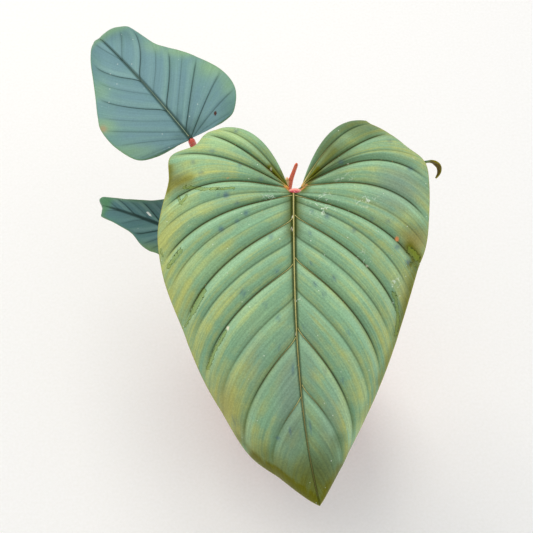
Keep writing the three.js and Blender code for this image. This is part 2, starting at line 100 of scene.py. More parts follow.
# Stem
STEM_FOOT = 52
STEM_TOP = 216
STEM_RADIUS_LOW = 8.5
STEM_RADIUS_TOP = 6
STEM_NODES = (122, 138, 153, 167, 181, 194, 206)
STEM_NODE_SWELL = 1.3
STEM_NODE_WIDTH = 2.6
STEM_STEPS = 330
STEM_SIDES = 72
SCAR_HALF_WIDTH = 1.1
SCAR_GROOVE_DEPTH = 0.5
SCAR_GROOVE_BELOW = 2.6
SCAR_GROOVE_WIDTH = 0.6
ROOT_STEPS = 90
ROOT_SIDES = 20
STEM_PATH = ((0, 4, STEM_FOOT), (1, 5, 100), (-1, 8, 150), (-1, 13, 190), (-1, 18, STEM_TOP))
AERIAL_ROOTS = (
    ((5, 2, 138), (15, -3, 134), (20, -6, 124), (22, -8, 117), (23, -9, 110)),
    ((-5, 2, 122), (-14, -5, 122), (-20, -10, 117), (-22, -12, 116), (-23, -13, 109)),
    ((0, 14, 153), (2, 23, 150), (4, 28, 138), (4, 29, 126), (4, 29, 121)),
)

# Leaf stalks and the rolled new leaf
STALK_RADIUS = 3
STALK_FOOT_RADIUS = 5.2
STALK_STEPS = 260
STALK_SIDES = 28
JOINT_MIDDLE = (-1.3, 0.1, -0.7)
JOINT_SIZE = (5, 2.1, 1.8)
JOINT_RISE = 0.35
JOINT_RINGS = 23
JOINT_SIDES = 40
SPIKE_PATH = ((-2, 18, STEM_TOP - 8), (-3, 30, 250), (-3, 45, 295), (-1, 51, 325), (4, 53, 351))
SPIKE_RADIUS = 4.9
SPIKE_TIP_RADIUS = 1.55
SPIKE_STEPS = 240
SPIKE_SIDES = 48
SCALE_RADIUS = 2.6
SCALE_STEPS = 60
SCALE_SIDES = 24
SCALE_PATH = ((-4.6, 47, 292), (-4.2, 48.5, 306), (-3.6, 50, 320), (-4, 50.6, 332))

# Leaf blades
BLADE_THICKNESS = 0.7
LEAF_SHINE = 0.12
MIDRIB_HALF_WIDTH = 1
MIDRIB_DEPTH = 2.2
MIDRIB_TAPER = 40
RIB_HALF_WIDTH = 2.6
SIDE_RIB_DEPTH = 0.5
SIDE_RIB_WIDTH = 0.8
STRONG_VEIN = 0.7
VEIN_SKEW = 0.64
DRIFT_POWER = 2.8
VALLEY_SHARPNESS = 2.5
VALLEY_ROUNDING = 0.03
PLEAT_RUN_IN = 14
PLEAT_RUN_OUT = 0.55
PLEAT_LOSS = 0.7
BEND_WIDTH = 18
VEIN_FILLET = 2.2
TIP_ROW = 5
STEEPEST = 0.6
SINUS_SLOPE = 0.6
MIDRIB_POINTS = 150
VEIN_POINTS = 60
# The left half's rows are counted from here in the streaks' map, so that its streaks differ.
LEFT_ROWS = 40

# Each row is a side vein or the crest between two, from the midrib to the margin:
# where it leaves the midrib (below zero: that far out beside it, at the notch), how far out and how far
# towards the tip it meets the margin, how deep a valley it makes, and how far it bows backwards.
FRONT_RIGHT = (
    (-2.6, 58, -64.4, 0, 0.248),
    (-2.6, 62.9, -63, 0.5, 0.14),
    (-2.6, 72.5, -59.1, 1, 0.07),
    (-2.6, 80.6, -47.9, 0, 0.12),
    (-2.6, 100.8, -38.9, 0.8, 0.13),
    (-2.6, 101.7, -14.4, 0, 0.24),
    (-2.6, 107.5, 11.7, 1, 0.26),
    (2, 110, 33.3, 0.4, 0.22),
    (4, 107, 59.7, 1, 0.22),
    (8, 101, 82.8, 0.5, 0.22),
    (25, 89, 114.5, 1, 0.22),
    (42, 82.9, 131.8, 0.5, 0.23),
    (62, 71.4, 159.9, 1, 0.25),
    (88, 57.9, 184.8, 0.5, 0.26),
    (120, 36.1, 223.5, 1, 0.28),
    (168, 11.2, 241.6, 0.7, 0.31),
    (222, -8.8, 254.4, 0.4, 0.2),
    (253, -21.6, 260.5, 0.4, 0),
)
FRONT_LEFT = (
    (-5.4, 61, -71.9, 0, 0.252),
    (-5.4, 65, -69.2, 0.7, 0.15),
    (-5.4, 80.3, -60.3, 1, 0.06),
    (-5.4, 94.1, -47.7, 0, 0.17),
    (-5.4, 108, -35.2, 0.3, 0.24),
    (-5.4, 111.6, -16.4, 1, 0.32),
    (-5.4, 110.3, 21.4, 1, 0.29),
    (2, 107.4, 42.9, 0.3, 0.24),
    (4, 101.1, 61.2, 1, 0.2),
    (9, 94.6, 84.3, 0.5, 0.22),
    (22, 86.9, 111.3, 1, 0.22),
    (38, 80.4, 132.8, 0.5, 0.23),
    (57, 70.6, 161.8, 1, 0.25),
    (81, 60.3, 187.4, 0.5, 0.26),
    (113, 44.8, 223.4, 1, 0.28),
    (158, 35.8, 240.5, 0.7, 0.31),
    (222, 27.4, 252.4, 0.4, 0.2),
    (253, 21.6, 260.5, 0.4, 0),
)
YOUNG_RIGHT = (
    (-1.5, 34.8, -2.3, 0, 0.07),
    (-1.5, 49.6, 1.8, 0.3, 0),
    (-1.5, 65.1, 20.6, 0.6, -0.03),
    (0, 67.2, 44.1, 0.8, -0.02),
    (8, 57.8, 69.7, 1, 0),
    (22, 50.7, 82.8, 0.4, 0.02),
    (38, 42.5, 94.8, 1, 0.08),
    (58, 35.2, 107.5, 0.4, 0.1),
    (80, 29.5, 141, 0.9, 0.2),
)
YOUNG_LEFT = (
    (-1.5, 17, 0.5, 0, -0.02),
    (-1.5, 34, 2.7, 0.3, 0),
    (-1.5, 49.5, 10.5, 0.3, 0.03),
    (0, 57.3, 32.6, 0.35, 0.03),
    (8, 57.5, 53.9, 0.5, 0.09),
    (22, 52.2, 67.3, 0.3, 0.14),
    (36, 41.5, 87.2, 0.9, 0.2),
    (56, 32.2, 105, 0.35, 0.2),
    (76, 21.8, 125, 0.9, 0.27),
)
SIDE_RIGHT = (
    (-1.5, 22, -7, 0, 0.03),
    (-1.5, 36, 2, 0.3, 0),
    (-1.5, 50, 27, 0.6, -0.03),
    (0, 50, 51, 0.8, -0.02),
    (8, 36, 67, 1, 0),
    (22, 26, 79, 0.4, 0.02),
    (46, 20, 90, 1, 0.06),
    (62, 15, 103, 0.4, 0.06),
    (84, 12, 122, 0.8, 0.1),
)
SIDE_LEFT = (
    (-1.5, 22, -5, 0, 0.03),
    (-1.5, 29, 0, 0.3, 0),
    (-1.5, 32, 11, 0.6, 0.03),
    (0, 29, 28, 0.7, 0),
    (6, 26, 43, 1, 0.05),
    (14, 27, 54, 0.4, 0.05),
    (24, 25, 65, 0.5, 0.08),
    (36, 18, 80, 1, 0.1),
    (70, 16, 98, 0.4, 0.06),
)

# A young leaf's rows go on from its shoulder, over the neck, along a narrow drip tip.
SHOULDER_START = 108
SHOULDER_LENGTH = 18
YOUNG_LENGTH = 186
YOUNG_NECK = 166
HOOKED_LENGTH = 226
HOOKED_NECK = 164


def tipped(rows, shoulder, neck_width, neck, drip, length):
    """Rows that go on to the tip. drip has the rows of the drip tip, counted from the neck."""
    return rows + (
        (SHOULDER_START, shoulder, neck - SHOULDER_LENGTH, 0.5, 0.12),
        (neck - SHOULDER_LENGTH, neck_width, neck, 0.3, 0),
        *((neck + start, out, neck + along, 0.2, 0) for start, out, along in drip),
        (length - TIP_ROW, 0, length, 0.2, 0),
    )


def young_rows(rows, shoulder, neck_width):
    """Rows of a leaf with a short drip tip."""
    return tipped(rows, shoulder, neck_width, YOUNG_NECK, ((6, 2, 12),), YOUNG_LENGTH)


def hooked_rows(rows, shoulder):
    """Rows of the leaf whose long drip tip hooks round: narrow at its neck, broader on the bend."""
    drip = ((-2, 1.4, 8), (12, 3.8, 27), (32, 2.2, 42))
    return tipped(rows, shoulder, 2.7, HOOKED_NECK, drip, HOOKED_LENGTH)


# Marks on the leaves, placed by where the photo shows them. A spot is x, y, half width, half height and
# strength. A stroke is x, y, x, y, half width and strength. Places and sizes are pixels of the photo.
# Bruises are soft blue-grey spots, parts are wider changes of colour, except the parts of painted shade,
# which darken zones that lie in shade, and specks are small hard marks.
BRUISES = (
    (193, 162, 2.4, 2.2, 0.6), (212, 151, 2.4, 2.2, 0.6), (201, 173, 2.6, 2.2, 0.6),
    (226, 195, 3.2, 3.4, 0.9), (218, 195, 2.2, 1.8, 0.5), (237, 203, 2.6, 2.2, 0.6),
    (240, 165, 2.4, 2, 0.5), (246, 213, 2.6, 2.8, 0.8), (237, 221, 2.2, 2, 0.7),
    (221, 229, 3, 2.6, 0.9), (236, 131, 2.4, 2, 0.6), (261, 179, 2.4, 2.2, 0.5),
    (271, 237, 2.4, 2.4, 0.7), (341, 162, 2.6, 2.4, 0.6), (390, 141, 2.2, 1.8, 0.5),
    (410, 169, 3, 2.2, 0.6), (327, 216, 2.8, 2.6, 0.8), (312, 211, 2, 1.8, 0.6),
    (388, 221, 3, 2, 0.5), (354, 230, 2.4, 2.2, 0.7), (397, 247, 3, 2.4, 0.8),
    (310, 233, 2, 1.8, 0.7), (372, 219, 2.2, 2, 0.5), (277, 271, 2.6, 2, 0.7),
    (243, 293, 3, 2.4, 0.9), (265, 304, 2.4, 2.2, 0.7), (278, 318, 2.4, 2.4, 0.6),
    (278, 347, 2.2, 1.8, 0.6), (303, 337, 2.2, 2, 0.4), (300, 254, 2, 2, 0.5),
    (311, 263, 1.8, 1.6, 0.7), (334, 278, 3, 2.4, 0.8), (315, 284, 2.6, 2.2, 0.8),
    (324, 294, 2.4, 2, 0.7), (304, 327, 2.4, 2, 0.5), (348, 333, 2.2, 2, 0.6),
    (325, 370, 2, 2, 0.6), (342, 381, 2.6, 2, 0.6), (293, 369, 1.8, 2.4, 0.7),
    (311, 426, 2.2, 2, 0.8), (290, 431, 2.2, 2, 0.7), (278, 438, 2.2, 1.8, 0.7),
    (235, 421, 2, 1.8, 0.7), (299, 434, 1.6, 1.8, 0.7), (408, 262, 2.6, 2, 1),
)
SUNNY_PARTS = (
    (166, 262, 18, 60, 0.75), (186, 320, 16, 50, 0.45), (222, 404, 24, 34, 0.65), (246, 388, 16, 44, 0.45),
    (205, 178, 36, 12, 0.12), (380, 330, 14, 34, 0.35), (352, 396, 14, 34, 0.35), (226, 250, 20, 12, 0.25),
    (320, 380, 10, 40, 0.3),
)
# Painted shade: darker zones where the blade faces away from the light.
PAINTED_SHADE_PARTS = (
    (277, 471, 8, 5, 0.6), (318, 474, 30, 36, 0.95), (300, 440, 34, 30, 0.4), (330, 150, 24, 28, 0.7),
    (356, 126, 38, 15, 0.7), (285, 395, 50, 60, 0.12), (336, 440, 325, 486, 9, 0.6),
    (268, 162, 18, 26, 0.35), (262, 452, 20, 26, 0.3), (294, 198, 293, 232, 9, 0.75),
    (293, 232, 294, 320, 5, 0.35), (176, 182, 16, 10, 0.4), (410, 232, 16, 12, 0.35),
)
FRESH_PARTS = (
    (226, 138, 26, 10, 0.8), (196, 158, 16, 16, 0.4), (185, 208, 24, 8, 0.4), (206, 266, 34, 18, 0.4),
    (412, 216, 12, 8, 0.4), (366, 178, 26, 8, 0.2), (250, 320, 26, 22, 0.3), (350, 290, 24, 20, 0.3),
)
COOL_PARTS = (
    (398, 188, 26, 26, 1), (300, 225, 24, 20, 0.3), (290, 400, 15, 66, 0.95), (330, 420, 12, 34, 0.6),
    (255, 360, 14, 36, 0.4), (310, 360, 10, 40, 0.5),
)
OLIVE_PARTS = (
    (238, 436, 254, 456, 2.6, 0.5), (253, 455, 268, 467, 5, 1), (268, 467, 286, 480, 7, 1.3),
    (286, 480, 302, 493, 8, 1.3), (302, 493, 320, 506, 11, 1.2), (320, 506, 331, 485, 7, 1),
    (331, 485, 341, 466, 4, 0.7), (264, 460, 292, 478, 14, 0.6), (292, 480, 318, 496, 19, 0.7),
    (340, 468, 352, 448, 3, 0.3), (292, 191, 270, 167, 3.5, 1),
    (290, 188, 282, 172, 4, 0.8), (303, 188, 318, 169, 5, 1), (318, 169, 334, 150, 4, 0.6),
    (409, 247, 418, 258, 6, 1), (415, 258, 410, 265, 4, 0.9), (418, 262, 411, 296, 7, 0.75),
    (411, 296, 399, 335, 7, 0.85), (399, 335, 380, 383, 5, 0.6), (380, 383, 362, 418, 4, 0.3),
    (168, 168, 166, 190, 6, 0.85), (172, 184, 190, 178, 5, 0.5), (294, 194, 293, 228, 5, 0.5),
)
TAN_PARTS = (
    (415, 240, 14, 13, 0.9), (176, 182, 14, 10, 0.6), (408, 300, 10, 28, 0.45), (224, 408, 16, 30, 0.55),
    (238, 432, 9, 16, 0.5),
)
RUST_SPECKS = (
    (397, 239, 2, 2.2, 1), (228, 178, 1.2, 1, 0.6),
    (298.5, 192, 307, 184.5, 0.9, 0.6), (290, 191.5, 284.5, 186, 0.9, 0.6),
)
PALE_SPECKS = (
    (293, 217, 1.4, 1.4, 0.9), (292, 229, 1.4, 1.4, 0.8), (228, 328, 1.6, 1.8, 1),
    (271, 169, 1.4, 2.6, 0.5), (367, 266, 1.2, 1.2, 0.8), (296, 334, 1, 2, 0.6),
    (413, 158, 1.4, 1.2, 0.55), (348, 164, 1.5, 1.2, 0.5), (349, 211, 1.3, 1.1, 0.45),
    (345, 315, 1.4, 1.2, 0.4),
)
SCRATCHED_PARTS = (
    (322, 205, 13, 12, 1), (367, 202, 12, 6, 1), (363, 256, 5, 6, 0.9), (371, 259, 5, 5, 0.8),
    (396, 282, 6, 6, 0.8), (270, 196, 8, 6, 0.7), (298, 300, 4, 4, 0.8), (345, 178, 10, 5, 0.6),
)
YOUNG_LIGHT_PARTS = (
    (103, 127, 13, 8, 0.55), (99, 92, 10, 9, 0.3), (214, 66, 16, 12, 0.5), (186, 51, 24, 6, 0.5),
    (228, 84, 8, 12, 0.3), (132, 152, 28, 8, 0.35), (156, 46, 14, 7, 0.4),
)
SIDE_LIGHT_PARTS = ((100, 199, 5, 4.5, 1), (140, 196, 34, 5, 0.4), (150, 250, 18, 8, 0.4))
GLINTS = ((147.6, 212.4, 150.2, 215.4, 1, 1),)
BROWN_SPECKS = ((215.3, 113.2, 1.5, 2, 1),)
YOUNG_TAN_PARTS = ((103, 129, 4, 3.5, 0.8),)
# Painted shade: darker zones of the young leaf that lie in shade.
YOUNG_PAINTED_SHADE_PARTS = (
    (114, 33, 26, 9, 0.45), (94, 60, 8, 22, 0.25), (196, 125, 12, 8, 0.5), (228, 108, 10, 12, 0.25),
    (189, 130, 9, 6, 0.9), (180, 137, 7, 4, 0.5), (178, 118, 5, 6, 0.5),
)

# Old bites healed to thin translucent skin, as short lines on the photo: from x, y to x, y, and half
# width in pixels
THIN_SCARS = (
    (184, 187, 206, 189, 1.7), (206, 189, 234, 188, 1.3), (178, 197, 181, 204, 1.5),
    (181, 204, 187, 195, 1.2), (160, 250, 163, 256, 1.1), (168, 267, 181, 250, 2),
    (204, 290, 193, 312, 2.6), (193, 312, 185, 327, 1.1), (226, 331, 215, 350, 1.4),
    (215, 350, 208, 368, 1.8), (393, 293, 396, 298, 2.2), (396, 299, 398, 318, 1.6),
    (398, 318, 396, 335, 1.6), (411, 263, 416, 267, 0.9), (410, 250, 417, 258, 3.6),
)

FRONT_TILT = math.radians(15)

# A leaf's lengths are millimetres. base, along and up place it, and rows has its right half (1) and left
# half (-1). The midrib is length long and drifts sideways. The dome rises beside the midrib and falls to
# the margin, less towards the tip (droop_fade). pleat is how deep the side veins lie, and bend_fade how
# much of that the bend takes away. The blade arches on one radius, and from curl_from it curls on another
# by an angle. curl_bump shifts curl_from: by how much, how far from the midrib and over what width.
# twist turns the drip tip over. crease is how deep the midrib lies. golden is how far the midrib stays
# golden, side_gold how golden the side veins are, and vein_fade how much shorter they show near the tip.
# columns, steps and tip_steps are how many points a half has, outward and between two rows.
ANY_LEAF = dict(
    length=YOUNG_LENGTH, drift=0, rise=0.12, droop_fade=0.3, bend_fade=0, curl_bump=(0, 0, 1), twist=0,
    crease_width=5, side_gold=0.1, vein_fade=0.4, scale=1, columns=52, steps=11, tip_steps=(24, 20, 12, 10))
LEAVES = {
    "front": ANY_LEAF | dict(
        base=LEAF_BASE, along=(0, -math.cos(FRONT_TILT), -math.sin(FRONT_TILT)),
        up=(0, -math.sin(FRONT_TILT), math.cos(FRONT_TILT)),
        rows={1: FRONT_RIGHT, -1: FRONT_LEFT}, length=258, drift=-21.6, rise=0.22, fall=0.42,
        droop_fade=0, pleat=4, arch=420, curl_from=258, curl_radius=30, curl_angle=0,
        crease=0.8, crease_width=3.5, golden=170, side_gold=1, vein_fade=0.95,
        columns=84, steps=13, tip_steps=(), marks=dict(
            bruise=BRUISES, sunny=SUNNY_PARTS, dim=PAINTED_SHADE_PARTS, fresh=FRESH_PARTS, cool=COOL_PARTS,
            olive=OLIVE_PARTS, tan=TAN_PARTS, rust=RUST_SPECKS, pale=PALE_SPECKS,
            scratched=SCRATCHED_PARTS, scars=THIN_SCARS)),
    "back": ANY_LEAF | dict(
        base=(-88.6, 97.4, 325), along=(-0.607, 0.794, 0.17), up=(0, 0, 1),
        rows={1: young_rows(YOUNG_RIGHT, 22, 8), -1: young_rows(YOUNG_LEFT, 7, 3)}, fall=0.2,
        pleat=1.6, bend_fade=0.9, arch=420, curl_from=136, curl_bump=(5.5, 20, 12), curl_radius=15,
        curl_angle=2.1, crease=0.6, crease_width=4, golden=62, marks=dict(
            sunny=YOUNG_LIGHT_PARTS, rust=BROWN_SPECKS, tan=YOUNG_TAN_PARTS, dim=YOUNG_PAINTED_SHADE_PARTS)),
    "side": ANY_LEAF | dict(
        base=(-83, 28.5, 268), along=(-0.87, 0.46, -0.04), up=(0.05, -0.26, 1),
        rows={1: young_rows(SIDE_RIGHT, 8, 4), -1: young_rows(SIDE_LEFT, 9, 4)}, rise=-0.15, fall=0.4,
        droop_fade=0.85, pleat=2.2, arch=330, curl_from=117.4, curl_bump=(16, 9, 9.9), curl_radius=17,
        curl_angle=1.9, crease=3.4, golden=14, scale=0.84,
        marks=dict(sunny=SIDE_LIGHT_PARTS, pale=GLINTS)),
    "right": ANY_LEAF | dict(
        base=(36.9, 42, 309), along=(0.752, 0.384, 0.534), up=(-0.307, 0.397, 0.849),
        rows={1: hooked_rows(YOUNG_RIGHT, 17), -1: hooked_rows(YOUNG_LEFT, 13)},
        length=HOOKED_LENGTH, fall=0.3, pleat=2, arch=284, curl_from=172, twist=1, curl_radius=21.6,
        curl_angle=3.7, crease=1, golden=20, scale=0.52, columns=36, steps=10,
        # The pale mark on the hook is a painted highlight along its upper edge.
        tip_steps=(14, 18, 16, 22, 22, 12), marks=dict(pale=((431, 161.4, 3, 0.6, 0.8),))),
}


def smoothstep(low, high, value):
    """Zero below low, one above high, and a smooth rise between them."""
    share = np.clip((value - low) / (high - low), 0, 1)
    return share * share * (3 - 2 * share)


def hill(away, width):
    """One at zero, and less on both sides of it over a width."""
    return np.exp(-(away / width) ** 2)


def unit(vectors):
    """Vectors with their lengths brought to one. One without length stays as it is."""
    vectors = np.asarray(vectors, float)
    return vectors / np.maximum(np.linalg.norm(vectors, axis=-1, keepdims=True), 1e-12)


def photo_pixels(points):
    """Where points in millimetres fall in the photo."""
    offset = points - EYE
    pixels = PHOTO_DISTANCE / MM_PER_PIXEL / (offset @ VIEW)
    return PHOTO_MIDDLE + pixels * (offset @ VIEW_RIGHT), PHOTO_MIDDLE - pixels * (offset @ VIEW_UP)


def from_line(pixels, x0, y0, x1, y1):
    """Pixels between each point and a short line."""
    dx, dy = x1 - x0, y1 - y0
    share = np.clip(((pixels[0] - x0) * dx + (pixels[1] - y0) * dy) / (dx * dx + dy * dy), 0, 1)
    return np.hypot(pixels[0] - x0 - share * dx, pixels[1] - y0 - share * dy)


def marked(pixels, marks):
    """How strongly soft marks cover each point: ovals of five numbers and strokes of six."""
    cover = np.zeros(pixels[0].shape)
    for mark in marks:
        if len(mark) == 6:
            away = from_line(pixels, *mark[:4]) / mark[4]
        else:
            away = np.hypot((pixels[0] - mark[0]) / mark[2], (pixels[1] - mark[1]) / mark[3])
        cover = np.maximum(cover, mark[-1] * np.exp(-away ** 2.5))
    return cover


def scarred(pixels, lines):
    """One on a scar's middle line, a half at its edge."""
    cover = np.zeros(pixels[0].shape)
    for line in lines:
        cover = np.maximum(cover, 1 - 0.5 * from_line(pixels, *line[:4]) / line[4])
    return cover


# Blade shapes


def row_at(rows, u):
    """Smooth curve through the rows of a table, at row numbers u."""
    table = np.array(rows, float)
    last = len(table) - 1
    i = np.minimum(np.floor(u).astype(int), last - 1)
    f = (u - i)[..., None]
    here, following = table[i], table[i + 1]
    slope_here = (following - table[np.maximum(i - 1, 0)]) / 2
    slope_next = (table[np.minimum(i + 2, last)] - here) / 2
    rise = f * f * (3 - 2 * f)
    return here + rise * (following - here) + f * (1 - f) * ((1 - f) * slope_here - f * slope_next)


def midrib_drift(leaf, a):
    """Where the midrib lies sideways, a millimetres from the base."""
    return leaf["drift"] * np.clip(a / leaf["length"], 0, 1) ** DRIFT_POWER


def flat_point(leaf, side, u, t):
    """Flat blade: row u, share t of the way from the midrib to the margin."""
    rows = leaf["rows"][side]
    swung, out, along, _, bow = np.moveaxis(row_at(rows, u), -1, 0)
    start = np.maximum(swung, rows[0][0])
    leaves = np.clip(start, 0, leaf["length"])
    taper = np.clip((leaf["length"] - TIP_ROW - leaves) / MIDRIB_TAPER, 0, 1)
    beside = MIDRIB_HALF_WIDTH * taper + np.maximum(-start, 0)
    origin = np.stack([midrib_drift(leaf, leaves) + side * beside,
                       leaves + SINUS_SLOPE * np.minimum(start, 0)], -1)
    end = np.stack([side * out, along], -1)
    chord = end - origin
    reach = np.linalg.norm(chord, axis=-1)
    backwards = side * np.stack([chord[..., 1], -chord[..., 0]], -1)
    middle = origin + VEIN_SKEW * chord + bow[..., None] * backwards
    s = t[..., None]
    point = (1 - s) ** 2 * origin + 2 * s * (1 - s) * middle + s ** 2 * end
    fillet = VEIN_FILLET * np.exp(-t * reach / VEIN_FILLET) * smoothstep(0, 30, start) * taper
    return point[..., 0], point[..., 1] - fillet, reach


def flat_step(leaf, side, start, end):
    """From one set of flat points to another, each given by its rows and its shares."""
    from_x, from_a, _ = flat_point(leaf, side, *start)
    to_x, to_a, _ = flat_point(leaf, side, *end)
    return np.stack([to_x - from_x, to_a - from_a], -1)


def sideways(step, way):
    """How far a flat step leads away from a line in some direction."""
    return np.abs(step[..., 0] * way[..., 1] - step[..., 1] * way[..., 0])


def softened(share):
    """The share of a row's width that lies between a point and a vein, rounded off at the vein."""
    return np.sqrt(share ** 2 + VALLEY_ROUNDING ** 2) - VALLEY_ROUNDING


def blade_height(leaf, side, u, t, x, a, reach):
    """How high the upper face stands: a dome, pleated along the veins and creased at the midrib. A long
    drip tip turns over to one side."""
    rows = leaf["rows"][side]
    kinds = np.array([row[3] for row in rows], float)
    i = np.minimum(np.floor(u).astype(int), len(rows) - 2)
    f = u - i
    valley = (kinds[i] * (1 - softened(f)) ** VALLEY_SHARPNESS
              + kinds[i + 1] * (1 - softened(1 - f)) ** VALLEY_SHARPNESS)
    run_in = np.minimum(t * reach / PLEAT_RUN_IN, 1)
    run_out = 1 - PLEAT_LOSS * np.clip((t - PLEAT_RUN_OUT) / (1 - PLEAT_RUN_OUT), 0, 1) ** 1.5
    towards_tip = np.clip((a / leaf["curl_from"] - 0.25) / 0.6, 0, 1)
    dome = reach * (leaf["rise"] * t - leaf["fall"] * t * t) * (1 - leaf["droop_fade"] * towards_tip)
    crease = leaf["crease"] * hill(x - midrib_drift(leaf, a), leaf["crease_width"]) * smoothstep(4, 30, a)
    twist = leaf["twist"] * x * smoothstep(-12, 6, a - leaf["curl_from"])
    pleat = leaf["pleat"] * (1 - leaf["bend_fade"] * hill(a - leaf["curl_from"], BEND_WIDTH))
    return dome - pleat * valley * run_in * run_out - crease + twist


def place_point(leaf, x, a, height):
    """A point of the flat blade, carried onto the leaf's long arch and the curl at its tip."""
    along = unit(leaf["along"])
    up = np.array(leaf["up"], float)
    up = unit(up - up.dot(along) * along)
    across = np.cross(along, up)
    bump, middle, wide = leaf["curl_bump"]
    curl_from = leaf["curl_from"] + bump * hill(x - middle, wide)
    arch_angle = np.minimum(a, curl_from) / leaf["arch"]
    curl = np.clip(a - curl_from, 0, leaf["curl_radius"] * leaf["curl_angle"]) / leaf["curl_radius"]
    straight = np.maximum(a - curl_from - leaf["curl_radius"] * leaf["curl_angle"], 0)
    angle = arch_angle + curl
    forward = (leaf["arch"] * np.sin(arch_angle)
               + leaf["curl_radius"] * (np.sin(angle) - np.sin(arch_angle)) + straight * np.cos(angle))
    drop = (leaf["arch"] * (1 - np.cos(arch_angle))
            + leaf["curl_radius"] * (np.cos(arch_angle) - np.cos(angle)) + straight * np.sin(angle))
    parts = ((x, across), (forward + height * np.sin(angle), along), (height * np.cos(angle) - drop, up))
    return np.array(leaf["base"], float) + leaf["scale"] * sum(v[..., None] * axis for v, axis in parts)


def row_samples(leaf):
    """Row numbers at which a blade is drawn: closer together beside each vein, to crease it."""
    intervals = len(leaf["rows"][1]) - 1
    steps = [leaf["steps"]] * intervals
    for k, count in enumerate(leaf["tip_steps"]):
        steps[intervals - len(leaf["tip_steps"]) + k] = count
    samples = []
    for i, count in enumerate(steps):
        share = np.arange(count) / count
        samples.extend(i + share - 0.75 * np.sin(2 * np.pi * share) / (2 * np.pi))
    return np.array(samples + [intervals])


def blade_half(leaf, side):
    """One half of a blade's upper face: its flat points, their heights, and the fields that its
    material reads."""
    rows = leaf["rows"][side]
    last = len(rows) - 1
    shares = (np.arange(leaf["columns"] + 1) / leaf["columns"]) ** 1.15
    u, t = np.meshgrid(row_samples(leaf), shares, indexing="ij")
    x, a, reach = flat_point(leaf, side, u, t)
    height = blade_height(leaf, side, u, t, x, a, reach)
    kinds = np.array([row[3] for row in rows], float)
    nearest = np.round(u).astype(int)

    # Millimetres from the nearest vein, above zero on its side towards the tip
    step = 0.01
    before, after = np.maximum(u - step, 0), np.minimum(u + step, last)
    inward, outward = np.maximum(t - step, 0), np.minimum(t + step, 1)
    row_step = flat_step(leaf, side, (before, t), (after, t)) / (after - before)[..., None]
    vein_way = unit(flat_step(leaf, side, (u, inward), (u, outward)))
    away = (u - nearest) * sideways(row_step, vein_way)
    starts = np.clip([row[0] / leaf["length"] for row in rows], 0, 1)
    present = kinds[nearest] * (starts[nearest] < 0.82)
    soft_to = 0.76 - 0.25 * starts[nearest]
    strength = present * (1 - smoothstep(soft_to, soft_to + 0.24, t))
    crisp_to = 0.76 - leaf["vein_fade"] * starts[nearest]
    crisp = present * (1 - smoothstep(crisp_to, crisp_to + 0.25, t))

    # Millimetres from the margin and from the midrib
    whole = np.ones_like(t)
    margin_way = unit(flat_step(leaf, side, (before, whole), (after, whole)))
    from_margin = sideways(flat_step(leaf, side, (u, t), (u, whole)), margin_way)
    midrib = np.abs(x - midrib_drift(leaf, a)) + np.maximum(-a, 0)
    share = np.clip(a / leaf["length"], 0, 1)

    # Share of the way from one strong vein to the next
    strong = [0] + [k for k, kind in enumerate(kinds) if kind >= STRONG_VEIN and k > 0]
    band = np.interp(u, strong + [last], np.arange(len(strong) + 1)) % 1
    crest = hill(band - 0.66, 0.17) + 0.45 * hill(band - 0.3, 0.1)

    pixels = photo_pixels(place_point(leaf, x, a, height))
    # The groove field is painted shade: it darkens the channel on both sides of the midrib.
    groove_width = 2.8 - 1.9 * share
    beside_midrib = (1 - smoothstep(0.6 * groove_width, 1.3 * groove_width, midrib)) * (a > -2)
    fields = {
        "vein": crisp * hill(away, 0.5),
        "groove": beside_midrib * (1 - 0.45 * share),
        "ribs": np.maximum(crisp * hill(away, SIDE_RIB_WIDTH), 1 - smoothstep(0.8, 1.4, midrib)),
        "shade": strength * np.where(away < 0, 0.6 * np.exp(away / 4.5) + 0.4 * hill(away, 1.2),
                                     hill(away, 0.8)),
        # Painted highlight: the slope just below each vein, on its side towards the tip, faces the light and
        # is painted paler.
        "bloom": strength * hill(away - 3.4, 2.6),
        "yellow": crest * smoothstep(0.15, 0.8, t),
        "outward": smoothstep(0.3, 1, t),
        "edge": 1 - smoothstep(0.2, 1.1, from_margin),
        "drip": smoothstep(leaf["curl_from"] - 4, leaf["curl_from"] + 8, a),
        "scar": scarred(pixels, leaf["marks"].get("scars", ())),
    }
    for name in ("bruise", "sunny", "dim", "fresh", "cool", "olive", "tan", "rust", "pale", "scratched"):
        fields[name] = marked(pixels, leaf["marks"].get(name, ()))
    rib = MIDRIB_DEPTH * (1 - 0.75 * share) * np.sqrt(np.clip(1 - (midrib / RIB_HALF_WIDTH) ** 2, 0, 1))
    rib = np.maximum(rib, SIDE_RIB_DEPTH * strength * hill(away, SIDE_RIB_WIDTH))
    return u, t, x, a, height, rib, fields


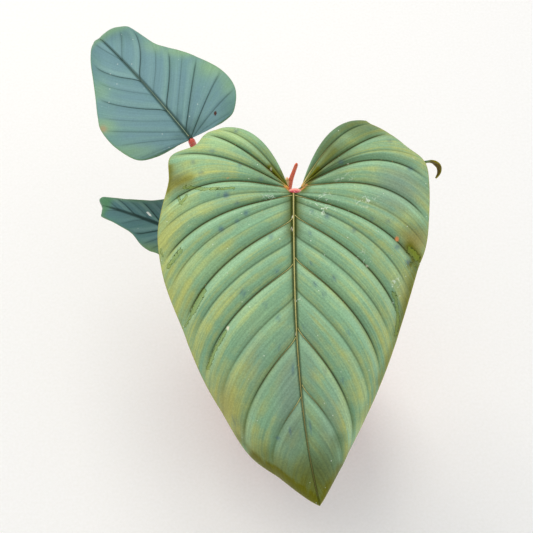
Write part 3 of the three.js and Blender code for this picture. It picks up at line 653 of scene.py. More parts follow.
def blade_mesh(name, leaf):
    """Upper face, the same points lower down, and an edge round both. Faces of the lower side have the
    second material."""
    halves = {side: blade_half(leaf, side) for side in (1, -1)}
    count, width = halves[1][0].shape
    first = next(i for i, row in enumerate(leaf["rows"][1]) if row[0] >= 0)
    middle_rows = np.flatnonzero(halves[1][0][:, 0] >= first)

    columns = {key: np.concatenate([halves[1][k].ravel(), halves[-1][k].ravel()])
               for k, key in enumerate(("u", "t", "x", "a", "height", "rib"))}
    columns["u"][count * width:] += LEFT_ROWS
    fields = {key: np.concatenate([halves[1][6][key].ravel(), halves[-1][6][key].ravel()])
              for key in halves[1][6]}

    # Ridge along the middle of the midrib, between the two halves
    right_edge = middle_rows * width
    left_edge = count * width + middle_rows * width
    ridge = 2 * count * width + np.arange(len(middle_rows))
    for table in (columns, fields):
        for key, values in table.items():
            between = (values[right_edge] + values[left_edge]) / 2
            table[key] = np.concatenate([values, between])
    columns["u"][ridge] = columns["u"][right_edge]

    key = np.round(np.stack([columns["x"], columns["a"], columns["height"]], -1), 3)
    _, keep, number = np.unique(key, axis=0, return_index=True, return_inverse=True)
    number = number.ravel()

    grid = np.arange(count * width).reshape(count, width)
    right = np.stack([grid[:-1, :-1], grid[:-1, 1:], grid[1:, 1:], grid[1:, :-1]], -1).reshape(-1, 4)
    left = count * width + np.stack([grid[:-1, :-1], grid[1:, :-1], grid[1:, 1:], grid[:-1, 1:]],
                                    -1).reshape(-1, 4)
    strip = np.concatenate([
        np.stack([ridge[:-1], right_edge[:-1], right_edge[1:], ridge[1:]], -1),
        np.stack([left_edge[:-1], ridge[:-1], ridge[1:], left_edge[1:]], -1)])
    corners = np.concatenate([right, left, strip])

    x, a, height, rib = (columns[k][keep] for k in ("x", "a", "height", "rib"))
    above = place_point(leaf, x, a, height)
    upright = unit(place_point(leaf, x, a, height + 1) - above)
    faces, sources = [], []
    for quad in corners:
        merged = number[quad]
        kept = [k for k in range(4) if merged[k] != merged[k - 1]]
        if len(kept) > 2:
            faces.append([int(merged[k]) for k in kept])
            sources.append([int(quad[k]) for k in kept])
    normals = np.zeros_like(above)
    for face in faces:
        p, q, r = above[face[0]], above[face[1]], above[face[2]]
        normals[face] += np.cross(q - p, r - p)
    steepness = np.maximum((unit(normals) * upright).sum(-1), STEEPEST)
    below = place_point(leaf, x, a, height - (BLADE_THICKNESS / steepness + rib * leaf["scale"])
                        / leaf["scale"])

    edges = {}
    for face in faces:
        for p, q in zip(face, face[1:] + face[:1]):
            if (q, p) in edges:
                del edges[(q, p)]
            else:
                edges[(p, q)] = True
    size = len(above)
    under = [[v + size for v in reversed(face)] for face in faces]
    rim = [[q, p, p + size, q + size] for p, q in edges]
    source_of = dict(zip(number[::-1].tolist(), range(len(number) - 1, -1, -1)))
    rim_sources = [[source_of[q], source_of[p], source_of[p], source_of[q]] for p, q in edges]
    all_faces = faces + under + rim
    all_sources = sources + [list(reversed(row)) for row in sources] + rim_sources

    mesh = new_mesh(name, np.concatenate([above, below]), all_faces)
    rows_map = mesh.uv_layers.new(name="Rows")
    flat_sources = np.concatenate([np.array(row) for row in all_sources])
    pairs = np.stack([columns["u"][flat_sources], columns["t"][flat_sources]], -1)
    rows_map.data.foreach_set("uv", pairs.astype(np.float32).ravel())
    for field, values in fields.items():
        add_field(mesh, field, np.tile(values[keep], 2))
    slots = np.array([0] * len(faces) + [1] * len(under) + [0] * len(rim), np.int32)
    mesh.polygons.foreach_set("material_index", slots)

    ends = np.zeros(2 * len(mesh.edges), np.int32)
    mesh.edges.foreach_get("vertices", ends)
    rim_edges = {frozenset(pair) for p, q in edges for pair in ((p, q), (p + size, q + size))}
    sharp = [frozenset(pair) in rim_edges for pair in ends.reshape(-1, 2).tolist()]
    mesh.edges.foreach_set("use_edge_sharp", sharp)
    return mesh


def vein_lines(leaf):
    """Paths along the veins of a blade's upper face: points, half widths in mm, how golden and how red."""
    lines = []
    a = np.linspace(2, leaf["length"] - 8, MIDRIB_POINTS)
    share = a / leaf["length"]
    x = midrib_drift(leaf, a)
    height = -leaf["crease"] * smoothstep(4, 30, a) + 0.12
    wide = 0.62 - 0.38 * share
    golden, red = hill(a, leaf["golden"]), 0.7 * np.exp(-a / 2)
    lines.append((place_point(leaf, x, a, height), wide, golden, red))
    for side, rows in leaf["rows"].items():
        for k, row in enumerate(rows[1:-2], 1):
            if row[3] < STRONG_VEIN:
                continue
            lobe = row[0] < 0
            far = 0.5 if lobe else 0.62 - 0.6 * row[0] / leaf["length"]
            t = np.linspace(0, far, VEIN_POINTS)
            u = np.full_like(t, float(k))
            x, a, reach = flat_point(leaf, side, u, t)
            height = blade_height(leaf, side, u, t, x, a, reach) + 0.08
            out = t * reach
            wide = 0.26 * (1 - t / far) ** 0.6 + 0.03
            golden = leaf["side_gold"] * np.exp(-out / 9)
            red = np.zeros_like(out)
            if lobe:
                backwards = 1 if row[2] < -30 else 0.3
                wide = wide + 0.4 * backwards * hill(out, 18)
                golden = leaf["side_gold"] * (0.3 + 0.7 * backwards) * np.exp(-out / 28)
                red = (0.4 + 0.6 * backwards) * np.exp(-np.hypot(x, a) / 7)
            lines.append((place_point(leaf, x, a, height), wide, golden, red))
    return lines


# Meshes and pieces


def new_mesh(name, points, faces):
    """A smooth mesh from points in millimetres."""
    mesh = bpy.data.meshes.new(name)
    mesh.from_pydata((np.asarray(points, float) * MM).tolist(), [], faces)
    mesh.shade_smooth()
    return mesh


def add_field(mesh, name, values):
    """A value at each point of a mesh, for a material or a geometry tree to read."""
    attribute = mesh.attributes.new(name, "FLOAT", "POINT")
    attribute.data.foreach_set("value", np.asarray(values, np.float32))


def new_object(name, data):
    """An object in the scene."""
    made = bpy.data.objects.new(name, data)
    bpy.context.scene.collection.objects.link(made)
    return made


def final_mesh(thing):
    """What an object's modifiers make of its mesh, as a plain mesh of its own."""
    evaluated = thing.evaluated_get(bpy.context.evaluated_depsgraph_get())
    return bpy.data.meshes.new_from_object(evaluated)


def add_piece(name, mesh, finishes, nodes=()):
    """A piece of the part: its mesh, its materials and the solids it replaces."""
    piece = new_object(name, mesh)
    for finish in finishes:
        mesh.materials.append(finish)
    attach(piece, "root")
    if nodes:
        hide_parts(*nodes)
    return piece


def smooth_path(points, shares):
    """Centres and directions on a smooth line through points, at shares of its length."""
    points = np.array(points, float)
    ends = np.vstack([2 * points[0] - points[1], points, 2 * points[-1] - points[-2]])
    fine = []
    for k in range(len(points) - 1):
        p0, p1, p2, p3 = ends[k:k + 4]
        d0, d1, d2 = (np.sqrt(np.linalg.norm(q - p)) for p, q in ((p0, p1), (p1, p2), (p2, p3)))
        m1 = d1 * ((p1 - p0) / d0 - (p2 - p0) / (d0 + d1) + (p2 - p1) / d1)
        m2 = d1 * ((p2 - p1) / d1 - (p3 - p1) / (d1 + d2) + (p3 - p2) / d2)
        s = np.linspace(0, 1, 60, endpoint=False)[:, None]
        rise = s * s * (3 - 2 * s)
        fine.append(p1 + rise * (p2 - p1) + s * (1 - s) * ((1 - s) * m1 - s * m2))
    fine = np.vstack(fine + [points[-1:]])
    length = np.concatenate([[0], np.cumsum(np.linalg.norm(np.diff(fine, axis=0), axis=1))])
    wanted = np.asarray(shares) * length[-1]
    centres = np.stack([np.interp(wanted, length, fine[:, k]) for k in range(3)], -1)
    return centres, unit(np.gradient(centres, axis=0))


def skin(rings, low_pole, high_pole):
    """A closed body round rings of points, stacked from one pole to the other."""
    sides, top = len(rings[0]), (len(rings) - 1) * len(rings[0])
    low, high = top + sides, top + sides + 1
    faces = []
    for k in range(sides):
        following = (k + 1) % sides
        faces.append([low, following, k])
        faces.append([high, top + k, top + following])
        for ring in range(0, top, sides):
            faces.append([ring + k, ring + following, ring + sides + following, ring + sides + k])
    return np.vstack([*rings, [low_pole], [high_pole]]), faces


def tube(path, radius_at, sides, steps):
    """Closed round tube along a path. radius_at gives the radii for a share, the angles and a centre."""
    shares = np.arange(steps + 1) / steps
    centres, ways = smooth_path(path, shares)
    angles = 2 * np.pi * np.arange(sides) / sides
    across = np.array([1.0, 0, 0])
    rings = []
    for share, centre, way in zip(shares, centres, ways):
        across = unit(across - across.dot(way) * way)
        other = np.cross(way, across)
        radius = radius_at(share, angles, centre)[:, None]
        rings.append(centre + radius * (np.cos(angles)[:, None] * across + np.sin(angles)[:, None] * other))
    return skin(rings, centres[0], centres[-1])


def joined(*shapes):
    """Several lists of points and faces as one."""
    points, faces, count = [], [], 0
    for some_points, some_faces in shapes:
        points.append(some_points)
        faces.extend([v + count for v in face] for face in some_faces)
        count += len(some_points)
    return np.vstack(points), faces


# Materials: the values between which most of a noise lies, and the size of bumps in it, in millimetres

NOISE_LOW, NOISE_HIGH = 0.3, 0.7
BUMP_SIZE = 10 / 3
SKIN_BUMP_SIZE = 50 / 9


def colour(hex_code):
    """sRGB hex to linear red, green, blue and alpha."""
    values = [int(hex_code[k:k + 2], 16) / 255 for k in (1, 3, 5)]
    return tuple(v / 12.92 if v <= 0.04045 else ((v + 0.055) / 1.055) ** 2.4 for v in values) + (1,)


def add(tree, kind, inputs=None, **settings):
    """Adds a node with its settings. An input, by name or number, is a value, another node's socket, or a
    node whose first output it takes."""
    made = tree.nodes.new(kind)
    for key, value in settings.items():
        setattr(made, key, value)
    for key, value in (inputs or {}).items():
        if isinstance(value, bpy.types.Node):
            value = value.outputs[0]
        if isinstance(value, bpy.types.NodeSocket):
            tree.links.new(value, made.inputs[key])
        else:
            made.inputs[key].default_value = value
    return made


def new_finish(name, surface):
    """A material with the uniform values of its shader, and the node tree to build the rest in."""
    finish = bpy.data.materials.new(name)
    finish.use_nodes = True
    shader = finish.node_tree.nodes["Principled BSDF"]
    for key, value in surface.items():
        shader.inputs[key].default_value = value
    return finish, finish.node_tree


def mask_from(tree, mask):
    """A mask given as the name of a value that the mesh carries at its points, or as a node or socket."""
    if isinstance(mask, str):
        return add(tree, "ShaderNodeAttribute", attribute_name=mask).outputs["Fac"]
    return mask


def summed(tree, parts, offset=0.0):
    """Masks added up, each times its weight, and an offset."""
    total = offset
    for mask, weight in parts:
        total = add(tree, "ShaderNodeMath", {0: mask_from(tree, mask), 1: weight, 2: total},
                    operation="MULTIPLY_ADD")
    return total


def layered(tree, ground, layers):
    """Colours laid over one another. Each layer is a colour, the mask that it follows and how much of it
    shows, and may end with the values of the mask where it starts and where it is full."""
    ground = colour(ground)
    for over, mask, much, *limits in layers:
        start, full = limits or (0, 1)
        shows = add(tree, "ShaderNodeMapRange", {0: mask_from(tree, mask), 1: start, 2: full, 4: much})
        ground = add(tree, "ShaderNodeMix", {0: shows, 6: ground, 7: colour(over)},
                     data_type="RGBA").outputs[2]
    return ground


def grained(tree, ground, pattern, darkest, lightest):
    """A colour darkened and lightened by a pattern."""
    factor = add(tree, "ShaderNodeMapRange", {0: pattern, 1: NOISE_LOW, 2: NOISE_HIGH, 3: darkest,
                                              4: lightest})
    return add(tree, "ShaderNodeMix", {0: 1.0, 6: ground, 7: factor}, data_type="RGBA",
               blend_type="MULTIPLY").outputs[2]


def surfaced(finish, ground, bumps, strength, depth):
    """Ends a material with its colour, and with bumps as deep as a size in millimetres."""
    tree = finish.node_tree
    shader = tree.nodes["Principled BSDF"]
    tree.links.new(ground, shader.inputs["Base Color"])
    bump = add(tree, "ShaderNodeBump", {"Height": bumps, "Strength": strength, "Distance": depth * MM})
    tree.links.new(bump.outputs[0], shader.inputs["Normal"])
    return finish


def along_axis(tree, axis):
    """How far along X, Y or Z (0, 1 or 2) each point lies, in metres."""
    place = add(tree, "ShaderNodeTexCoord").outputs["Object"]
    return add(tree, "ShaderNodeSeparateXYZ", {0: place}).outputs[axis]


def streaks(tree, across, along, detail=3):
    """Streaks that run with the veins: so many to a row, and so many from the midrib to the margin."""
    rows = add(tree, "ShaderNodeUVMap", uv_map="Rows")
    stretched = add(tree, "ShaderNodeMapping", {"Vector": rows, "Scale": (across, along, 1)})
    return add(tree, "ShaderNodeTexNoise", {"Vector": stretched, "Scale": 1, "Detail": detail})


def mottle(tree, size, detail=3):
    """Cloudy variation with patches of a size in millimetres."""
    place = add(tree, "ShaderNodeTexCoord").outputs["Object"]
    return add(tree, "ShaderNodeTexNoise", {"Vector": place, "Scale": 1 / (size * MM), "Detail": detail})


def fibres(tree, size, stretch):
    """Upright flecks of a size in millimetres, drawn out lengthwise."""
    place = add(tree, "ShaderNodeTexCoord").outputs["Object"]
    long = add(tree, "ShaderNodeMapping", {"Vector": place, "Scale": (1, 1, 1 / stretch)})
    return add(tree, "ShaderNodeTexNoise", {"Vector": long, "Scale": 1 / (size * MM), "Detail": 2})


def dots(tree, spacing, size, share):
    """Round dots on a share of the cells of a rough grid, both sizes in millimetres."""
    place = add(tree, "ShaderNodeTexCoord").outputs["Object"]
    cells = add(tree, "ShaderNodeTexVoronoi", {"Vector": place, "Scale": 1 / (spacing * MM)})
    reach = size / spacing
    near = add(tree, "ShaderNodeMapRange", {0: cells.outputs["Distance"], 1: reach, 2: 0.35 * reach},
               interpolation_type="SMOOTHSTEP")
    pick = add(tree, "ShaderNodeSeparateColor", {0: cells.outputs["Color"]})
    chosen = add(tree, "ShaderNodeMath", {0: pick, 1: share}, operation="LESS_THAN")
    return add(tree, "ShaderNodeMath", {0: near, 1: chosen}, operation="MULTIPLY")


def scratches(tree):
    """Pale broken hairlines, as snails leave: the borders of small cells, where a cloud lets them show.
    Real ones are thinner than a pixel of the photo, so they are drawn about 0.6 mm wide."""
    place = add(tree, "ShaderNodeTexCoord").outputs["Object"]
    bend = add(tree, "ShaderNodeTexNoise", {"Vector": place, "Scale": 1 / (BUMP_SIZE * MM), "Detail": 1})
    swing = 3 * MM
    bent = add(tree, "ShaderNodeVectorMath", {0: bend.outputs["Color"], 1: (swing, swing, swing), 2: place},
               operation="MULTIPLY_ADD")
    border = add(tree, "ShaderNodeTexVoronoi", {"Vector": bent, "Scale": 1 / (4.5 * MM)},
                 feature="DISTANCE_TO_EDGE")
    line = add(tree, "ShaderNodeMapRange", {0: border, 1: 0.1, 2: 0.03})
    cloud = add(tree, "ShaderNodeMapRange", {0: mottle(tree, 3.5, 2), 1: 0.5, 2: 0.6})
    shown = add(tree, "ShaderNodeMath", {0: line, 1: cloud}, operation="MULTIPLY")
    return add(tree, "ShaderNodeMath", {0: shown, 1: mask_from(tree, "scratched")}, operation="MULTIPLY")


def old_blade_finish():
    """Mature leaf, a waxy cuticle over thick tissue: soft gloss, yellow-green crests between blue-green
    valleys, creased brown veins, bruises, and bites healed to thin skin."""
    finish, tree = new_finish("waxy pleated leaf", {"Roughness": 0.52, "Specular IOR Level": LEAF_SHINE})
    broad = streaks(tree, 5, 0.9)
    # The real striation is finer than a pixel of the photo, so it is drawn at about 1.5 mm.
    fine = streaks(tree, 15, 1.6)
    cloud = mottle(tree, 14)
    speckle = mottle(tree, 1.3, 2)
    yellow = summed(tree, [("yellow", 0.5), ("outward", 0.12), ("sunny", 0.75), (broad, 2.3), (cloud, 1.5)],
                    -1.86)
    ragged = summed(tree, [("scar", 1), (mottle(tree, 2.2), 1.1)], -0.55)
    scar_rim = add(tree, "ShaderNodeMath", {0: ragged, 1: 0.54, 2: 0.05}, operation="COMPARE")
    torn = add(tree, "ShaderNodeMapRange", {0: broad, 1: 0.36, 2: 0.6, 3: 0.8, 4: 1.1})
    olive = add(tree, "ShaderNodeMath", {0: mask_from(tree, "olive"), 1: torn}, operation="MULTIPLY")
    on_veins = add(tree, "ShaderNodeMath", {0: dots(tree, 3.2, 0.6, 0.3), 1: mask_from(tree, "ribs")},
                   operation="MULTIPLY")
    ground = layered(tree, "#8ab38c", [
        ("#b8c172", yellow, 1),
        ("#b9d893", "fresh", 0.7),
        ("#859d8b", "cool", 0.75),
        # Painted highlight on the slope below each vein, which faces the light.
        ("#b0d8ae", "bloom", 0.5),
        ("#a4924c", "tan", 0.8),
        # Painted shade in darker zones.
        ("#545f2c", "dim", 0.9),
        ("#3f5c2e", "shade", 0.73),
        ("#676800", olive, 1),
        ("#45627c", "bruise", 0.8),
        ("#84983a", ragged, 0.55, 0.48, 0.52),
        ("#38480f", scar_rim, 0.85),
        ("#2c2e08", "vein", 0.95),
        # Painted shade in the groove beside the midrib.
        ("#2f3c00", "groove", 1),
        ("#b0a848", "edge", 0.6),
        ("#e0925a", "rust", 1, 0.15, 0.6),
        ("#dcb168", on_veins, 0.6),
        ("#ece9cc", "pale", 1, 0.2, 0.6),
        ("#e4efd8", dots(tree, 6, 0.7, 0.3), 0.7),
        ("#dcebd6", scratches(tree), 1),
    ])
    ground = grained(tree, ground, fine, 0.84, 1.13)
    ground = grained(tree, ground, speckle, 0.87, 1.11)
    return surfaced(finish, ground, summed(tree, [(fine, 1), (speckle, 1)]), 0.4, 0.4)


def young_blade_finish(name, blade, margin, sunny, vein, drip):
    """Young leaf, smooth and blue-grey, with a painted highlight on the slope below each vein: fine dark
    veins, greener towards its margin, and a drip tip with a colour of its own."""
    finish, tree = new_finish(name, {"Roughness": 0.48, "Specular IOR Level": LEAF_SHINE})
    broad = streaks(tree, 3, 0.8)
    fine = streaks(tree, 14, 1.5, 2)
    speckle = mottle(tree, 1.3, 2)
    greener = summed(tree, [("outward", 0.25), ("sunny", 0.7), (broad, 0.5), (mottle(tree, 20), 0.6)], -0.56)
    ground = layered(tree, blade, [
        (margin, greener, 1),
        (sunny, "sunny", 0.65),
        # Painted highlight on the slope below each vein, which faces the light.
        ("#8fb4a6", "bloom", 0.35),
        ("#c08f6c", "tan", 0.7),
        # Painted shade in darker zones.
        (vein, "dim", 0.6),
        (vein, "shade", 0.3),
        (vein, "vein", 0.75),
        # Painted shade in the groove beside the midrib.
        (vein, "groove", 0.9),
        ("#6f9456", "edge", 0.6),
        ("#4a2f28", "rust", 1, 0.2, 0.5),
        # On the young leaves the pale marks are painted highlights: the side leaf's glint and the line along
        # the hook.
        ("#f2f6f2", "pale", 1, 0.25, 0.6),
        ("#d9e4dc", dots(tree, 6, 0.75, 0.25), 0.6),
        (drip, "drip", 1),
    ])
    ground = grained(tree, ground, fine, 0.93, 1.06)
    ground = grained(tree, ground, speckle, 0.93, 1.06)
    return surfaced(finish, ground, summed(tree, [(fine, 1), (speckle, 1)]), 0.3, 0.3)


def underside_finish(name, tissue, vein, drip):
    """Lower side of a leaf: paler and matt, with raised pale veins."""
    finish, tree = new_finish(name, {"Roughness": 0.62})
    fine = streaks(tree, 15, 1.6, 2)
    ground = layered(tree, tissue, [
        ("#a9b578", mottle(tree, 14), 0.5, 0.35, 0.7),
        (vein, "ribs", 1),
        (drip, "drip", 1),
    ])
    return surfaced(finish, grained(tree, ground, fine, 0.92, 1.06), fine, 0.3, 0.3)


def vein_finish(name, plain, golden):
    """Raised vein, firm and a little shiny: golden near the stalk and reddened where it joins it."""
    finish, tree = new_finish(name, {"Roughness": 0.42, "Specular IOR Level": LEAF_SHINE})
    patches = mottle(tree, 2, 2)
    ground = layered(tree, plain, [
        (golden, "golden", 1, 0.05, 0.75),
        ("#d99a48", "red", 1, 0.1, 0.4),
        ("#d8483e", "red", 1, 0.4, 0.75),
    ])
    return surfaced(finish, grained(tree, ground, patches, 0.85, 1.1), patches, 0.2, 0.1)


def stalk_finish():
    """Leaf stalk, a smooth skin over juicy tissue: glossy, coral where it meets the blade, red along most
    of its length and greener at its foot, with pale lengthwise flecks."""
    finish, tree = new_finish("juicy red stalk", {"Roughness": 0.3, "Coat Weight": 0.4})
    flecks = fibres(tree, 0.9, 6)
    ground = layered(tree, "#bd4f43", [
        ("#8c352c", mottle(tree, 9), 0.5, 0.5, 0.75),
        ("#7c7440", "share", 0.85, 0.45, 0.02),
        ("#dc5648", "share", 1, 0.9, 0.985),
        ("#f2c9b4", flecks, 0.6, 0.6, 0.72),
    ])
    return surfaced(finish, ground, flecks, 0.3, 0.2)


def joint_finish(low, high):
    """Swollen joint between stalk and ribs: soft glossy tissue, crimson on the side of the midrib, and
    behind it salmon pink with pale flecks, the salmon pink a painted highlight where the light from behind
    falls. low and high are its ends along Y, in metres."""
    finish, tree = new_finish("crimson joint with a painted highlight behind", {"Roughness": 0.36})
    backwards = along_axis(tree, 1)
    flecks = mottle(tree, 1.4, 2)
    ground = layered(tree, "#cc4050", [
        # Painted highlight: the back, which faces the light, is painted salmon pink.
        ("#f58f80", backwards, 1, low, high),
        ("#ffdccf", flecks, 0.7, 0.52, 0.66),
    ])
    return surfaced(finish, ground, flecks, 0.3, 0.2)


def sheath_finish(name, fresh, streak, foot):
    """Thin sheath round a new leaf, coral red when fresh and straw brown when dry: streaked lengthwise and
    a little glossy."""
    finish, tree = new_finish(name, {"Roughness": 0.4})
    lines = fibres(tree, 0.7, 10)
    ground = layered(tree, fresh, [
        (streak, lines, 0.6, 0.45, 0.7),
        ("#f7a58a", mottle(tree, 1.5, 2), 0.45, 0.6, 0.7),
        (foot, along_axis(tree, 2), 1, 0.27, 0.22),
    ])
    return surfaced(finish, ground, lines, 0.4, 0.2)


def stem_finish():
    """Stem, green bark turning corky: ringed with pale leaf scars, cracked brown lower down."""
    finish, tree = new_finish("corky green stem", {"Roughness": 0.6})
    place = add(tree, "ShaderNodeTexCoord").outputs["Object"]
    low = add(tree, "ShaderNodeMapRange", {0: along_axis(tree, 2), 1: 0.2, 2: 0.12})
    long = add(tree, "ShaderNodeMapping", {"Vector": place, "Scale": (1, 1, 0.2)})
    cracks = add(tree, "ShaderNodeTexVoronoi", {"Vector": long, "Scale": 1 / (1.7 * MM)},
                 feature="DISTANCE_TO_EDGE")
    ground = layered(tree, "#75843f", [
        ("#8a6b45", summed(tree, [(low, 1), (mottle(tree, 5, 5), 1)]), 1, 0.6, 1.1),
        ("#4c3a24", cracks, 0.6, 0.1, 0),
        ("#b9a27a", "leaf_scar", 1),
    ])
    return surfaced(finish, ground, cracks, 0.5, 0.5)


def terracotta_finish():
    """Fired unglazed clay: matt and dusty, with fine grog, faint turning lines and pale lime efflorescence.
    """
    finish, tree = new_finish("terracotta", {"Roughness": 0.88})
    place = add(tree, "ShaderNodeTexCoord").outputs["Object"]
    grog = mottle(tree, 1.2, 2)
    flat = add(tree, "ShaderNodeMapping", {"Vector": place, "Scale": (0.02, 0.02, 1)})
    turning = add(tree, "ShaderNodeTexNoise", {"Vector": flat, "Scale": 1 / (2 * MM), "Detail": 2})
    damp = add(tree, "ShaderNodeMapRange", {0: along_axis(tree, 2), 1: 0.06, 2: 0})
    ground = layered(tree, "#b2643c", [
        ("#c98560", mottle(tree, 45, 4), 0.6, 0.4, 0.7),
        ("#8a4527", grog, 0.35, 0.6, 0.75),
        ("#dcc0a6", summed(tree, [(mottle(tree, 26, 6), 1), (damp, 0.12)]), 0.35, 0.58, 0.8),
    ])
    ground = grained(tree, ground, turning, 0.96, 1.03)
    return surfaced(finish, ground, summed(tree, [(turning, 1), (grog, 1)]), 0.4, 0.4)


def soil_finish(name, dark, pale, rough):
    """Potting mix and what lies on it: matt, broken up at the scale of its grains."""
    finish, tree = new_finish(name, {"Roughness": rough})
    grain = mottle(tree, 1, 3)
    ground = layered(tree, dark, [(pale, mottle(tree, 7, 4), 0.7, 0.45, 0.75)])
    return surfaced(finish, grained(tree, ground, grain, 0.7, 1.2), grain, 0.6, 0.6)


def floor_finish():
    """Seamless studio paper, matt and almost white, with a grain too faint to notice."""
    finish, tree = new_finish("white studio paper", {"Roughness": 0.9})
    grain = mottle(tree, 3, 2)
    ground = layered(tree, "#f9f8f5", [("#fdfcfa", grain, 1, 0.3, 0.7)])
    return surfaced(finish, ground, grain, 0.1, 0.1)


# Camera, floor and lights, in metres

FLOOR_HALF = 14
PLANT_MIDDLE = (0, 0, 0.3)


def add_camera():
    """Looks down at the front leaf as the photo does, so that the leaf's base falls on its pixel."""
    data = bpy.data.cameras.new("camera")
    data.angle = 2 * math.atan(PHOTO_MIDDLE * MM_PER_PIXEL / PHOTO_DISTANCE)
    data.clip_end = 50
    camera = new_object("camera", data)
    camera.location = EYE * MM
    camera.rotation_euler = (math.pi / 2 - PHOTO_ELEVATION, 0, 0)
    bpy.context.scene.camera = camera


def add_light(name, place, target, size, power, tint):
    """A square soft light that looks at a target."""
    data = bpy.data.lights.new(name, "AREA")
    data.shape = "SQUARE"
    data.size = size
    data.energy = power
    data.color = colour(tint)[:3]
    lamp = new_object(name, data)
    lamp.location = Vector(place)
    lamp.rotation_euler = (Vector(target) - Vector(place)).to_track_quat("-Z", "Y").to_euler()


def add_studio():
    """Pale floor, soft light from above and behind the plant, and a weak fill."""
    mesh = bpy.data.meshes.new("floor")
    corners = [(FLOOR_HALF * x, FLOOR_HALF * y, 0) for x, y in ((-1, -1), (1, -1), (1, 1), (-1, 1))]
    mesh.from_pydata(corners, [], [(0, 1, 2, 3)])
    mesh.materials.append(floor_finish())
    floor = new_object("floor", mesh)
    world = bpy.data.worlds.new("studio")
    world.use_nodes = True
    sky = world.node_tree.nodes["Background"]
    sky.inputs["Color"].default_value = colour("#f6f8fb")
    sky.inputs["Strength"].default_value = 0.68
    bpy.context.scene.world = world
    add_light("key", (-0.45, 0.95, 1.75), PLANT_MIDDLE, 1.0, 16.5, "#fffaf2")
    add_light("fill", (0.9, -1.3, 1.3), PLANT_MIDDLE, 1.4, 5.5, "#f4f8ff")
    bpy.context.scene.view_settings.view_transform = "Standard"


# Pieces


def inner_radius(z):
    """The pot's inside at a height."""
    foot, top = BASE_RADIUS - POT_WALL, RIM_RADIUS - POT_WALL
    return foot + (top - foot) * (z - POT_FLOOR) / (POT_HEIGHT - POT_FLOOR)


def rounded(corners, radius, steps=4):
    """A profile with each inner corner turned into a short curve."""
    corners = [np.array(corner, float) for corner in corners]
    line = [corners[0]]
    for before, corner, after in zip(corners, corners[1:], corners[2:]):
        cut = min(radius, 0.45 * np.linalg.norm(before - corner), 0.45 * np.linalg.norm(after - corner))
        start = corner + cut * unit(before - corner)
        end = corner + cut * unit(after - corner)
        for s in np.arange(steps + 1) / steps:
            line.append((1 - s) ** 2 * start + 2 * s * (1 - s) * corner + s ** 2 * end)
    return line + [corners[-1]]


def level_ring(radius, height, sides):
    """Points of a level circle round Z."""
    angles = 2 * np.pi * np.arange(sides) / sides
    return np.stack([radius * np.cos(angles), radius * np.sin(angles), np.full(sides, height)], -1)


def turned(profile, sides):
    """A closed body turned about Z from a profile of radius and height that starts and ends on the axis."""
    rings = [level_ring(radius, height, sides) for radius, height in profile[1:-1]]
    return skin(rings, (0, 0, profile[0][1]), (0, 0, profile[-1][1]))


def add_pot():
    """Turned clay pot with a band below its rim, and holes drilled through its floor."""
    band_foot = POT_HEIGHT - RIM_BAND
    profile = rounded([
        (0, 0), (BASE_RADIUS, 0), (RIM_RADIUS - RIM_STEP, band_foot), (RIM_RADIUS, band_foot),
        (RIM_RADIUS, POT_HEIGHT), (RIM_RADIUS - POT_WALL, POT_HEIGHT), (BASE_RADIUS - POT_WALL, POT_FLOOR),
        (0, POT_FLOOR),
    ], POT_EDGE_ROUNDING)
    body = new_object("pot_blank", new_mesh("clay_pot", *turned(profile, POT_SIDES)))
    low, high = -10, 2 * POT_FLOOR
    drills = []
    for i in range(DRAIN_HOLES):
        angle = 2 * np.pi * (i + 0.25) / DRAIN_HOLES
        points, faces = turned([(0, low), (DRAIN_RADIUS, low), (DRAIN_RADIUS, high), (0, high)], DRILL_SIDES)
        points = points + np.array([DRAIN_CIRCLE * np.cos(angle), DRAIN_CIRCLE * np.sin(angle), 0])
        drills.append((points, faces))
    drill = new_object("drill_blank", new_mesh("drills", *joined(*drills)))
    cut = body.modifiers.new("drain holes", "BOOLEAN")
    cut.object = drill
    cut.operation = "DIFFERENCE"
    cut.solver = "EXACT"
    pot_mesh = final_mesh(body)
    for blank in (body, drill):
        bpy.data.objects.remove(blank)
    pot_mesh.set_sharp_from_angle(angle=math.radians(50))
    add_piece("clay_pot", pot_mesh, [terracotta_finish()], ["pot"])


def soil_height(x, y):
    """Top of the soil: low lumps, with crumbs and fine grains on them."""
    lumps = np.sin(x / 7 + 1.3 * np.sin(y / 9)) * np.cos(y / 8) + 0.5 * np.sin(x / 3.7 + y / 5.1)
    crumbs = np.sin(1.9 * x + 2.3 * np.sin(0.8 * y)) * np.sin(1.7 * y + 1.1 * np.cos(1.3 * x))
    fine = np.sin(3.1 * x + 1.7 * y) * np.sin(2.7 * y - 2.2 * x)
    return SOIL_TOP + SOIL_LUMP * lumps + CRUMB_DEPTH * (0.6 * crumbs + 0.4 * fine)


def soil_body():
    """Potting mix: a filled body with a crumbly top that dips a little at the pot's wall."""
    layers = [level_ring(inner_radius(POT_FLOOR) - 0.6, SOIL_FLOOR, SOIL_SECTORS),
              level_ring(inner_radius(SOIL_EDGE) - 0.4, SOIL_EDGE, SOIL_SECTORS)]
    for radius in SOIL_RADIUS * (1 - np.arange(SOIL_RINGS) / SOIL_RINGS) ** 0.9:
        layer = level_ring(radius, 0.0, SOIL_SECTORS)
        dip = SOIL_DIP * hill(SOIL_RADIUS - radius, SOIL_DIP_WIDTH)
        layer[:, 2] = soil_height(layer[:, 0], layer[:, 1]) - dip
        layers.append(layer)
    return skin(layers, (0, 0, SOIL_FLOOR), (0, 0, soil_height(0, 0)))


def new_tree(name, sockets):
    """A geometry tree with named inputs, and the sockets that they give inside it."""
    tree = bpy.data.node_groups.new(name, "GeometryNodeTree")
    for label, kind in sockets:
        tree.interface.new_socket(label, in_out="INPUT", socket_type="NodeSocket" + kind)
    tree.interface.new_socket("Made", in_out="OUTPUT", socket_type="NodeSocketGeometry")
    return tree, add(tree, "NodeGroupInput").outputs


